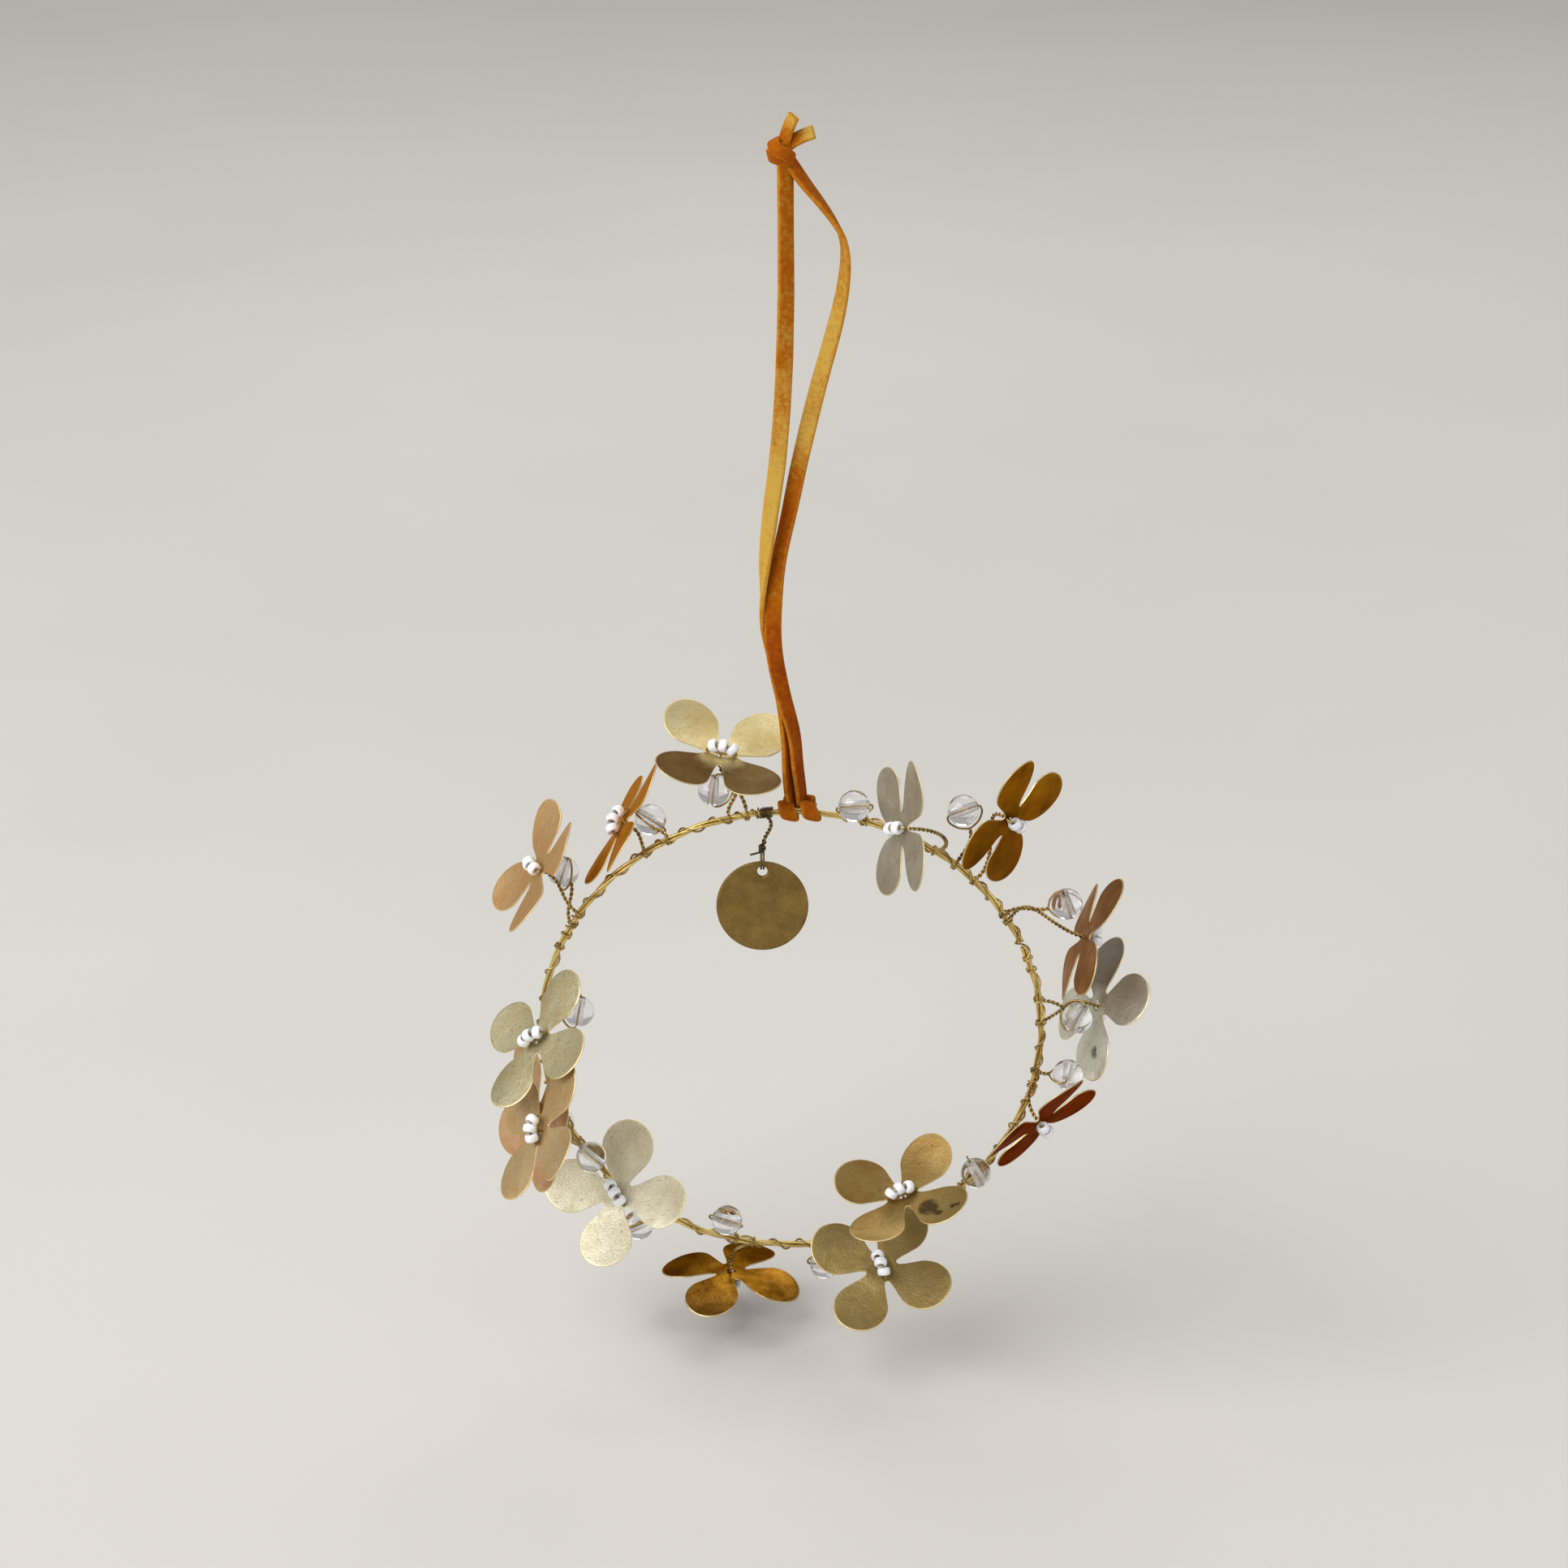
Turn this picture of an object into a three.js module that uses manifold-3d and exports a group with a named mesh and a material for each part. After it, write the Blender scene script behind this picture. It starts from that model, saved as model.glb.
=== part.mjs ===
// Brass flower wreath: a ring of laid wire strands, sprigs of stamped flowers and glass beads held by
// thin binding wire, a round tag, and a suede lace that is hitched round the ring and knotted on top.
// Millimetres and degrees, +Z up, the front faces -Y. The origin is where the knot hangs on its pin.

import * as THREE from 'three';
import { mergeVertices } from 'three/addons/utils/BufferGeometryUtils.js';
import Module from 'manifold-3d';

const wasm = await Module();
wasm.setup();

// Clearance kept between pieces that touch, and the distance under which two points count as one
const FIT_GAP = 0.3;
const SAME_POINT = 1e-4;

// Ring of twisted strands
const RING_DIAMETER = 97;
const STRAND_DIAMETER = 0.6;
const STRAND_COUNT = 3;
const STRAND_TWISTS = 10;
const STRAND_STEPS_PER_TWIST = 5;
const STRAND_SIDES = 5;
const STRAND_END_GAP = 1.2;
const RING_JOINT_CLOCK = 66;

// Binding wire, its open turns round the ring and the twisted stems. The bends are shares of a stem's
// span, and a stem's root faces a point behind the flower's hole at the distance of the aim.
const WIRE_DIAMETER = 0.4;
const STEM_DIAMETER = 0.8;
const WRAP_PITCH = 7;
const WRAP_STEPS_PER_TURN = 7;
const WIRE_SIDES = 4;
const STEM_STEPS = 6;
const STEM_STRAIGHT = 1.2;
const FLOWER_STEM_BEND = 0.45;
const BEAD_STEM_STEPS = 4;
const BEAD_STEM_BEND = 0.4;
const STEM_AIM = 4.9;

// Stamped flowers. The shoulder is where a petal's round tip meets its straight side, counted from the
// petal's axis, and the neck is the share of the widening that lies halfway along that side.
const SHEET_THICKNESS = 0.3;
const PETAL_COUNT = 4;
const PETAL_REACH = 14.8;
const PETAL_WIDTH = 10.7;
const PETAL_SHOULDER = 112;
const PETAL_NECK = 0.42;
const NOTCH_RADIUS = 3.3;
const NOTCH_WIDTH = 0.8;
const PETAL_ARC_STEPS = 5;
const FLOWER_HOLE_SIDES = 8;

// Glass beads and the rows of three seed beads
const GLASS_DIAMETER = 6;
const GLASS_BORE = 1.4;
const GLASS_SIDES = 9;
const GLASS_ARC_STEPS = 5;
const SEED_DIAMETER = 2.6;
const SEED_LENGTH = 1.7;
const SEED_BORE = 1.0;
const SEED_EDGE_DIAMETER = 1.9;
const SEED_SIDES = 7;
const SEED_LOOP_GAP = 0.6;
const SEEDS_PER_FLOWER = 3;

// Tag
const TAG_DIAMETER = 17.6;
const TAG_THICKNESS = 0.5;
const TAG_HOLE_DIAMETER = 2;
const TAG_HOLE_INSET = 1.9;
const TAG_CLOCK = -5.5;
const TAG_DROP = 12.5;
const TAG_SIDE = 0.9;
const TAG_LEAN = 12;
const TAG_WRAP_HALF = 1;
const TAG_SEGMENTS = 14;

// Suede lace
const LACE_WIDTH = 3.2;
const LACE_THICKNESS = 1.1;
const LACE_CORNER = 0.33;
const LACE_STEP = 5;
const LACE_DROP = 123;
const HITCH_SIDE = 1.5;
const HITCH_FLAT_WIDTH = 1.9;
const HITCH_SIDES = 12;

// How far the wreath's lower side leans back, so that its weight hangs under the lace
const WREATH_LEAN = 4.9;

// Knot: a rounded body, one turn of lace that slants round it and two tails. The turn is a ring that is
// stretched in depth and height, then leaned and slanted.
const KNOT_WIDTH = 6;
const KNOT_DEPTH = 4.5;
const KNOT_HEIGHT = 6;
const KNOT_SIDES = 12;
const KNOT_ARC_STEPS = 7;
const KNOT_TURN_RADIUS = 2.4;
const KNOT_TURN_DEPTH_STRETCH = 0.8;
const KNOT_TURN_HEIGHT_STRETCH = 1.6;
const KNOT_TURN_LEAN = 10;
const KNOT_TURN_SLANT = 25;
const KNOT_TURN_RISE = 2.8;
const KNOT_TURN_SIDES = 6;
const TAIL_RISE = 4.4;
const TAIL_LENGTH = 5;
const TAIL_SPREAD = 2.5;

// Sizes that follow from the ones above
const ringRadius = RING_DIAMETER / 2;
const strandOrbit = (STRAND_DIAMETER + FIT_GAP) / (2 * Math.sin(Math.PI / STRAND_COUNT));
const bundleRadius = strandOrbit + STRAND_DIAMETER / 2;
const wrapOrbit = bundleRadius + FIT_GAP + WIRE_DIAMETER / 2;
const flowerHole = STEM_DIAMETER + 2 * FIT_GAP;
const seedRowLength = SEEDS_PER_FLOWER * SEED_LENGTH;
const loopFloor = SHEET_THICKNESS / 2 + SEED_LOOP_GAP + WIRE_DIAMETER / 2;
const seedAxisHeight = loopFloor + WIRE_DIAMETER / 2 + FIT_GAP + SEED_DIAMETER / 2;

// Sprigs in clock order from the lace, seen from the front. root is the clock angle where a stem leaves
// the ring. clock, out and front place a piece: its clock angle, how far it lies outside the ring's
// centre line and how far in front of it. turn and rise aim a flower to the right and upwards, spin turns
// its petals, cup is how far the petal tips are pressed forward, and row is the diagonal between the
// petals on which the seed row lies, 1 or -1. bore is the way a bead's bore runs.
const SPRIGS = [
  {
    flower: {
      root: 34, clock: 21.2, out: 8.4, front: 16,
      turn: -73, rise: 9, spin: 75, cup: 0.9, row: -1,
    },
    bead: { root: 17, clock: 13, out: 4, front: 3, bore: [1, 0, 0.1] },
  },
  {
    flower: {
      root: 46, clock: 40.9, out: 14.5, front: 2,
      turn: 50, rise: -14, spin: 10, cup: 0.7, row: -1,
    },
    bead: { root: 40, clock: 35, out: 8.5, front: -4, bore: [1, 0, 0.4] },
  },
  {
    flower: {
      root: 59, clock: 73.5, out: 11, front: -8,
      turn: 90, rise: -22, spin: 10, cup: 1.5, row: 1,
    },
    bead: { root: 57, clock: 61.5, out: 11.5, front: 0, bore: [0.3, 0.2, -1] },
  },
  {
    flower: {
      root: 87, clock: 88.5, out: 11.6, front: -8,
      turn: 109, rise: -29, spin: 52, cup: 1.6, row: 1,
    },
    bead: { root: 81, clock: 84, out: 7, front: 4, bore: [0.5, 0, 1] },
  },
  {
    flower: {
      root: 104, clock: 108.2, out: 2.4, front: 7,
      turn: 44, rise: -33, spin: -1, cup: 0.7, row: -1,
    },
    bead: { root: 100, clock: 98.5, out: 6, front: 2, bore: [0.2, 1, 0] },
  },
  {
    flower: {
      root: 136, clock: 143.7, out: -11.7, front: 12,
      turn: -48, rise: 71, spin: 14, cup: 2.6, row: 1,
    },
    bead: { root: 131, clock: 128, out: -2.5, front: 5.5, bore: [0.5, 0, -1] },
  },
  {
    flower: {
      root: 167, clock: 159, out: 1, front: 12,
      turn: -7, rise: 57, spin: 70, cup: 1.5, row: 1,
    },
    bead: { root: 171, clock: 173, out: 7, front: -3, bore: [1, 0, 0] },
  },
  {
    flower: {
      root: 189, clock: 191.5, out: 13, front: -8,
      turn: -11, rise: -88, spin: 12, cup: 2.3, row: 1,
    },
    bead: { root: 193, clock: 198, out: -7.5, front: 6, bore: [1, 0, -0.4] },
  },
  {
    flower: {
      root: 215, clock: 227.6, out: -2.4, front: 9,
      turn: -22, rise: 42, spin: 2, cup: 1.7, row: -1,
    },
    bead: { root: 212, clock: 214, out: 6, front: -2, bore: [1, 0.3, 0.3] },
  },
  {
    flower: {
      root: 246, clock: 261.9, out: -0.3, front: 25,
      turn: -68, rise: 30, spin: 92, cup: 0.8, row: 1,
    },
    bead: { root: 240, clock: 240, out: -3.5, front: 9, bore: [1, 0, -1] },
  },
  {
    flower: {
      root: 256, clock: 257.5, out: 1.9, front: 13,
      turn: -61, rise: 12, spin: 41, cup: 0.8, row: 1,
    },
    bead: { root: 248, clock: 243, out: 3, front: -5.5, bore: [0.4, 0, 1] },
  },
  {
    flower: {
      root: 267, clock: 276.5, out: 0.4, front: 12,
      turn: -62, rise: 42, spin: 102, cup: 0.6, row: -1,
    },
    bead: { root: 273, clock: 274.5, out: -7, front: -3, bore: [0.2, 0.3, 1] },
  },
  {
    flower: {
      root: 303, clock: 306.1, out: 11.1, front: -2,
      turn: -80, rise: 33, spin: 55, cup: 2.1, row: -1,
    },
    bead: { root: 300, clock: 305.5, out: 5.5, front: -8, bore: [0.3, 0, 1] },
  },
  {
    flower: {
      root: 325, clock: 324.4, out: 6.2, front: -3,
      turn: -93, rise: 29, spin: -1, cup: 0.4, row: -1,
    },
    bead: { root: 331, clock: 328.5, out: 3, front: -5.5, bore: [1, 0, -0.7] },
  },
  {
    flower: {
      root: 350, clock: 347.4, out: 12.4, front: -2,
      turn: 30, rise: 73, spin: 10, cup: 2.4, row: -1,
    },
    bead: { root: 346, clock: 344.5, out: 6.5, front: 0, bore: [0.1, 0, 1] },
  },
];

// One side of the wire loop round a glass bead, from the stem to the bore's mouth: how far across and how
// far towards the stem, as shares of the loop's reach
const BEAD_LOOP = [
  [0.62, 0.86],
  [1, 0.42],
  [1.02, 0.05],
  [0.75, 0],
];

// Each length of binding wire runs along the ring between two clock angles and holds the sprigs between.
const BINDING_RUNS = [
  { from: 12, to: 70 },
  { from: 72.5, to: 160 },
  { from: 162.5, to: 233 },
  { from: 235.5, to: 294 },
  { from: 296.5, to: 353 },
];

// Route of each lace leg between hitch and knot: chosen points as the place across, the place towards the
// back, and the share of the lace's drop below the knot
const LEFT_LEG = [
  [0.1, -0.6, 0.94],
  [0.2, -0.8, 0.87],
  [-0.9, -0.8, 0.81],
  [-2.4, -0.8, 0.74],
  [-3.5, -0.8, 0.67],
  [-3.6, -0.8, 0.6],
  [-1.8, -0.8, 0.48],
  [-0.6, -0.8, 0.36],
  [-0.9, -0.5, 0.17],
];
const RIGHT_LEG = [
  [3.4, 0.7, 0.94],
  [2, 0.9, 0.86],
  [-0.2, 0.9, 0.78],
  [-2.2, 0.9, 0.68],
  [-2.4, 0.9, 0.59],
  [0.2, 0.9, 0.48],
  [3.2, 0.6, 0.39],
  [6.8, 0.4, 0.29],
  [9.8, 0.2, 0.2],
  [11, 0, 0.135],
  [9.6, 0, 0.08],
  [5.6, 0, 0.04],
];

// Materials
function metal(colour, roughness) {
  return new THREE.MeshStandardMaterial({ color: colour, roughness, metalness: 1 });
}
const flowerBrass = metal(0xb9a76f, 0.45);
const strandBrass = metal(0xc2a75a, 0.35);
const wireBrass = metal(0x8f7a45, 0.4);
const tagBrass = metal(0x8a7846, 0.5);
const glass = new THREE.MeshStandardMaterial({
  color: 0xe9eef2, roughness: 0.05, metalness: 0, transparent: true, opacity: 0.5,
});
const seedWhite = new THREE.MeshStandardMaterial({ color: 0xf2f4f8, roughness: 0.25, metalness: 0 });
const suede = new THREE.MeshStandardMaterial({ color: 0xb87419, roughness: 0.95, metalness: 0 });

// Helpers for solids
const toRadians = THREE.MathUtils.degToRad;

function solidOf(geometry) {
  const bare = geometry.clone();
  bare.deleteAttribute('normal');
  bare.deleteAttribute('uv');
  const merged = mergeVertices(bare, SAME_POINT);
  return new wasm.Manifold(new wasm.Mesh({
    numProp: 3,
    vertProperties: new Float32Array(merged.attributes.position.array),
    triVerts: new Uint32Array(merged.index.array),
  }));
}

function geometryOf(solid) {
  const mesh = solid.getMesh();
  const geometry = new THREE.BufferGeometry();
  geometry.setAttribute('position', new THREE.BufferAttribute(mesh.vertProperties, 3));
  geometry.setIndex(new THREE.BufferAttribute(mesh.triVerts, 1));
  geometry.computeVertexNormals();
  return geometry;
}

function joined(geometries) {
  return geometryOf(geometries.map(solidOf).reduce((whole, next) => whole.add(next)));
}

function roundSection(diameter, sides) {
  const points = [];
  for (let side = 0; side < sides; side += 1) {
    const angle = (2 * Math.PI * side) / sides;
    points.push(new THREE.Vector2(Math.cos(angle), Math.sin(angle)).multiplyScalar(diameter / 2));
  }
  return new THREE.Shape(points);
}

function tube(path, diameter, sides, steps) {
  return new THREE.ExtrudeGeometry(roundSection(diameter, sides), {
    steps, extrudePath: path, bevelEnabled: false,
  });
}

// A path that runs straight from point to point, and whose even steps fall on those points
class PointPath extends THREE.Curve {
  constructor(points) {
    super();
    this.points = points;
  }

  getUtoTmapping(share) {
    return share;
  }

  getPoint(share, target = new THREE.Vector3()) {
    const steps = this.points.length - 1;
    const whole = Math.min(steps - 1, Math.max(0, Math.floor(share * steps)));
    return target.lerpVectors(this.points[whole], this.points[whole + 1], share * steps - whole);
  }
}

// A ring-shaped or drilled turned piece: the outline closes on itself away from the axis.
function turned(outline, segments) {
  return new THREE.LatheGeometry([...outline, outline[0]], segments);
}

// Places on and near the ring, in the ring's own frame
function outward(clock) {
  return new THREE.Vector3(Math.sin(toRadians(clock)), 0, Math.cos(toRadians(clock)));
}

const FORWARD = new THREE.Vector3(0, -1, 0);

function placeNearRing({ clock, out, front }) {
  return outward(clock).multiplyScalar(ringRadius + out).addScaledVector(FORWARD, front);
}

// A point on the ring's wrapping: orbit is the distance from the centre line, phase turns from
// outwards to the front.
function besideRing(clock, orbit, phase) {
  return outward(clock)
    .multiplyScalar(ringRadius + orbit * Math.cos(phase))
    .addScaledVector(FORWARD, orbit * Math.sin(phase));
}

function phaseTowards(clock, target) {
  const offset = target.clone().addScaledVector(outward(clock), -ringRadius);
  return Math.atan2(offset.dot(FORWARD), offset.dot(outward(clock)));
}

function flowerFrame({ turn, rise, spin }) {
  const facing = new THREE.Vector3(
    Math.sin(toRadians(turn)) * Math.cos(toRadians(rise)),
    -Math.cos(toRadians(turn)) * Math.cos(toRadians(rise)),
    Math.sin(toRadians(rise)),
  );
  const level = new THREE.Vector3(Math.cos(toRadians(turn)), Math.sin(toRadians(turn)), 0);
  const upright = new THREE.Vector3().crossVectors(facing, level);
  const petal = level.multiplyScalar(Math.cos(toRadians(spin)));
  petal.addScaledVector(upright, Math.sin(toRadians(spin)));
  const beside = new THREE.Vector3().crossVectors(facing, petal);
  return new THREE.Matrix4().makeBasis(petal, beside, facing);
}

// Ring strand: a helix laid round the ring's centre line, open at the joint
function strandGeometry(order) {
  const endGap = THREE.MathUtils.radToDeg(STRAND_END_GAP / ringRadius);
  const steps = STRAND_TWISTS * STRAND_STEPS_PER_TWIST;
  const points = [];
  for (let step = 0; step <= steps; step += 1) {
    const along = step / steps;
    const clock = RING_JOINT_CLOCK + endGap / 2 + along * (360 - endGap);
    const phase = 2 * Math.PI * (along * STRAND_TWISTS + order / STRAND_COUNT);
    points.push(besideRing(clock, strandOrbit, phase));
  }
  return tube(new PointPath(points), STRAND_DIAMETER, STRAND_SIDES, steps);
}

// Binding wire: it winds round the ring, and passes each stem's root on the side where the stem leaves.
function wrapStops(run, roots) {
  const stops = [{ clock: run.from, phase: roots[0].phase }];
  for (const root of [...roots, { clock: run.to, phase: roots[0].phase }]) {
    const before = stops[stops.length - 1];
    const arc = toRadians(root.clock - before.clock) * ringRadius;
    const plainPhase = before.phase + (2 * Math.PI * arc) / WRAP_PITCH;
    const wholeTurns = Math.round((plainPhase - root.phase) / (2 * Math.PI));
    stops.push({ clock: root.clock, phase: root.phase + 2 * Math.PI * wholeTurns });
  }
  return stops;
}

function wrapPoints(stops) {
  const points = [besideRing(stops[0].clock, wrapOrbit, stops[0].phase)];
  stops.slice(1).forEach((after, index) => {
    const before = stops[index];
    const turns = Math.abs(after.phase - before.phase) / (2 * Math.PI);
    const steps = Math.max(1, Math.ceil(turns * WRAP_STEPS_PER_TURN));
    for (let step = 1; step <= steps; step += 1) {
      const clock = THREE.MathUtils.lerp(before.clock, after.clock, step / steps);
      const phase = THREE.MathUtils.lerp(before.phase, after.phase, step / steps);
      points.push(besideRing(clock, wrapOrbit, phase));
    }
  });
  return points;
}

// Least space between two turns of a winding, measured on points more than half a turn apart
function leastGapOfWinding(points) {
  const samplesPerStep = 4;
  const halfTurn = (samplesPerStep * WRAP_STEPS_PER_TURN) / 2;
  const fine = new PointPath(points).getPoints((points.length - 1) * samplesPerStep);
  let least = Infinity;
  for (let a = 0; a < fine.length; a += 1) {
    for (let b = a + halfTurn; b < fine.length; b += 1) {
      least = Math.min(least, fine[a].distanceTo(fine[b]));
    }
  }
  return least - WIRE_DIAMETER;
}

// Stem to a flower: it leaves the ring, bends, and comes straight up through the hole to the seed loop.
function flowerStem(start, outOfRing, frame, centre) {
  const facing = new THREE.Vector3().setFromMatrixColumn(frame, 2);
  const behind = centre.clone().addScaledVector(facing, -STEM_STRAIGHT);
  const end = centre.clone().addScaledVector(facing, loopFloor + WIRE_DIAMETER / 2);
  const bend = start.distanceTo(behind) * FLOWER_STEM_BEND;
  const curve = new THREE.CubicBezierCurve3(
    start,
    start.clone().addScaledVector(outOfRing, bend),
    behind.clone().addScaledVector(facing, -bend),
    behind,
  );
  const points = [...curve.getSpacedPoints(STEM_STEPS), end];
  return tube(new PointPath(points), STEM_DIAMETER, WIRE_SIDES, points.length - 1);
}

// Wire loop in front of a flower: along the sheet, up past the ends and back through the seed row
function seedLoop(frame, centre, row) {
  const reach = seedRowLength / 2 + FIT_GAP + WIRE_DIAMETER / 2;
  const corner = (seedAxisHeight - loopFloor) / 2;
  const middle = (seedAxisHeight + loopFloor) / 2;
  const start = WIRE_DIAMETER / 4;
  const outline = [
    [start, loopFloor],
    [reach, loopFloor],
    [reach + corner, middle],
    [reach, seedAxisHeight],
    [0, seedAxisHeight],
    [-reach, seedAxisHeight],
    [-reach - corner, middle],
    [-reach, loopFloor],
    [-start, loopFloor],
  ];
  const along = new THREE.Vector3(Math.SQRT1_2, row * Math.SQRT1_2, 0);
  const points = outline.map(([x, z]) => (
    along.clone().multiplyScalar(x).setZ(z).applyMatrix4(frame).add(centre)
  ));
  return tube(new PointPath(points), WIRE_DIAMETER, WIRE_SIDES, points.length - 1);
}

// Wire loop through a glass bead's bore, closed on the stem side at the bead's edge
function beadLoop(centre, bore, stemSide) {
  const edge = GLASS_DIAMETER / 2 + FIT_GAP + WIRE_DIAMETER / 2;
  const neck = edge + WIRE_DIAMETER;
  const start = WIRE_DIAMETER / 4;
  const side = BEAD_LOOP.map(([across, towardsStem]) => [edge * across, edge * towardsStem]);
  const otherSide = side.map(([across, towardsStem]) => [-across, towardsStem]).reverse();
  const outline = [[start, neck], ...side, ...otherSide, [-start, neck]];
  const points = outline.map(([x, y]) => (
    centre.clone().addScaledVector(bore, x).addScaledVector(stemSide, y)
  ));
  return tube(new PointPath(points), WIRE_DIAMETER, WIRE_SIDES, points.length - 1);
}

function beadStem(start, outOfRing, centre, stemSide) {
  const neck = GLASS_DIAMETER / 2 + FIT_GAP + WIRE_DIAMETER;
  const end = centre.clone().addScaledVector(stemSide, neck);
  const bend = start.distanceTo(end) * BEAD_STEM_BEND;
  const path = new THREE.CubicBezierCurve3(
    start,
    start.clone().addScaledVector(outOfRing, bend),
    end.clone().addScaledVector(stemSide, bend),
    end,
  );
  return tube(path, STEM_DIAMETER, WIRE_SIDES, BEAD_STEM_STEPS);
}

function beadFrame(bead) {
  const centre = placeNearRing(bead);
  const bore = new THREE.Vector3(...bead.bore).normalize();
  const back = outward(bead.root).multiplyScalar(ringRadius).sub(centre);
  const stemSide = back.addScaledVector(bore, -back.dot(bore)).normalize();
  return { centre, bore, stemSide };
}

// Stamped flower: a four-petal blank with a wire hole, pressed to a shallow cup
function flowerGeometry(cup) {
  const blank = new THREE.Shape();
  const tipRadius = PETAL_WIDTH / 2;
  const tipCentre = PETAL_REACH - tipRadius;
  const shoulder = toRadians(PETAL_SHOULDER);
  const step = (2 * Math.PI) / PETAL_COUNT;
  for (let petal = 0; petal < PETAL_COUNT; petal += 1) {
    const axis = petal * step;
    const at = (x, y) => new THREE.Vector2(x, y).rotateAround(new THREE.Vector2(), axis);
    const notchX = NOTCH_RADIUS * Math.cos(step / 2) + (NOTCH_WIDTH / 2) * Math.sin(step / 2);
    const notchY = NOTCH_RADIUS * Math.sin(step / 2) - (NOTCH_WIDTH / 2) * Math.cos(step / 2);
    const sideX = tipCentre + tipRadius * Math.cos(shoulder);
    const sideY = tipRadius * Math.sin(shoulder);
    const neckX = (notchX + sideX) / 2;
    const neckY = notchY + (sideY - notchY) * PETAL_NECK;
    const points = [at(notchX, -notchY), at(neckX, -neckY)];
    for (let arc = 0; arc <= PETAL_ARC_STEPS; arc += 1) {
      const angle = -shoulder + (2 * shoulder * arc) / PETAL_ARC_STEPS;
      points.push(at(tipCentre + tipRadius * Math.cos(angle), tipRadius * Math.sin(angle)));
    }
    points.push(at(neckX, neckY), at(notchX, notchY));
    points.forEach((point, index) => {
      if (petal === 0 && index === 0) blank.moveTo(point.x, point.y);
      else blank.lineTo(point.x, point.y);
    });
  }
  blank.closePath();
  blank.holes.push(new THREE.Path(roundSection(flowerHole, FLOWER_HOLE_SIDES).getPoints()));
  const sheet = new THREE.ExtrudeGeometry(blank, { depth: SHEET_THICKNESS, bevelEnabled: false });
  sheet.translate(0, 0, -SHEET_THICKNESS / 2);
  const spots = sheet.attributes.position;
  for (let index = 0; index < spots.count; index += 1) {
    const radius = Math.hypot(spots.getX(index), spots.getY(index));
    const share = Math.max(0, radius - NOTCH_RADIUS) / (PETAL_REACH - NOTCH_RADIUS);
    spots.setZ(index, spots.getZ(index) + cup * share * share);
  }
  return sheet;
}

// Glass bead: a ball drilled through, on its bore axis Y
function glassBeadGeometry() {
  const radius = GLASS_DIAMETER / 2;
  const rim = Math.asin(GLASS_BORE / GLASS_DIAMETER);
  const outline = [];
  for (let step = 0; step <= GLASS_ARC_STEPS; step += 1) {
    const angle = rim + ((Math.PI - 2 * rim) * step) / GLASS_ARC_STEPS;
    outline.push(new THREE.Vector2(radius * Math.sin(angle), -radius * Math.cos(angle)));
  }
  return turned(outline, GLASS_SIDES);
}

// Row of seed beads on one bore, on its axis Y
function seedRowGeometry() {
  const bore = SEED_BORE / 2;
  const edge = SEED_EDGE_DIAMETER / 2;
  const outline = [new THREE.Vector2(bore, -seedRowLength / 2)];
  for (let seed = 0; seed < SEEDS_PER_FLOWER; seed += 1) {
    const foot = -seedRowLength / 2 + seed * SEED_LENGTH;
    outline.push(new THREE.Vector2(edge, foot));
    outline.push(new THREE.Vector2(SEED_DIAMETER / 2, foot + SEED_LENGTH / 2));
  }
  outline.push(new THREE.Vector2(edge, seedRowLength / 2));
  outline.push(new THREE.Vector2(bore, seedRowLength / 2));
  return turned(outline, SEED_SIDES);
}

function addMesh(parent, name, geometry, material) {
  const mesh = new THREE.Mesh(geometry, material.clone());
  mesh.name = name;
  parent.add(mesh);
  return mesh;
}

// The wreath hangs in the hitch and leans.
const part = new THREE.Group();
const swing = new THREE.Group();
swing.position.set(0, 0, -LACE_DROP);
swing.rotation.x = toRadians(WREATH_LEAN);
part.add(swing);
const wreath = new THREE.Group();
wreath.position.set(0, 0, -ringRadius);
swing.add(wreath);

for (let order = 0; order < STRAND_COUNT; order += 1) {
  addMesh(wreath, `ring_strand_${order + 1}`, strandGeometry(order), strandBrass);
}

// Flowers, glass beads and seed rows, and the stems that join each run of binding wire
const glassBead = glassBeadGeometry();
const seedRow = seedRowGeometry();
const stems = [];

SPRIGS.forEach(({ flower, bead }, index) => {
  const number = String(index + 1).padStart(2, '0');
  const frame = flowerFrame(flower);
  const centre = placeNearRing(flower);
  const petals = addMesh(wreath, `flower_${number}`, flowerGeometry(flower.cup), flowerBrass);
  petals.applyMatrix4(frame);
  petals.position.copy(centre);

  const seeds = addMesh(wreath, `seed_beads_${number}`, seedRow, seedWhite);
  seeds.applyMatrix4(new THREE.Matrix4().makeRotationZ((-flower.row * Math.PI) / 4).premultiply(frame));
  seeds.position.set(0, 0, seedAxisHeight).applyMatrix4(frame).add(centre);

  const { centre: ball, bore, stemSide } = beadFrame(bead);
  const drilled = addMesh(wreath, `glass_bead_${number}`, glassBead, glass);
  drilled.quaternion.setFromUnitVectors(new THREE.Vector3(0, 1, 0), bore);
  drilled.position.copy(ball);

  const facing = new THREE.Vector3().setFromMatrixColumn(frame, 2);
  const flowerBack = centre.clone().addScaledVector(facing, -STEM_AIM);
  stems.push({
    clock: flower.root,
    phase: phaseTowards(flower.root, flowerBack),
    solids: (start, away) => [
      flowerStem(start, away, frame, centre), seedLoop(frame, centre, flower.row),
    ],
  });
  stems.push({
    clock: bead.root,
    phase: phaseTowards(bead.root, ball),
    solids: (start, away) => [beadStem(start, away, ball, stemSide), beadLoop(ball, bore, stemSide)],
  });
});

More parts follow.
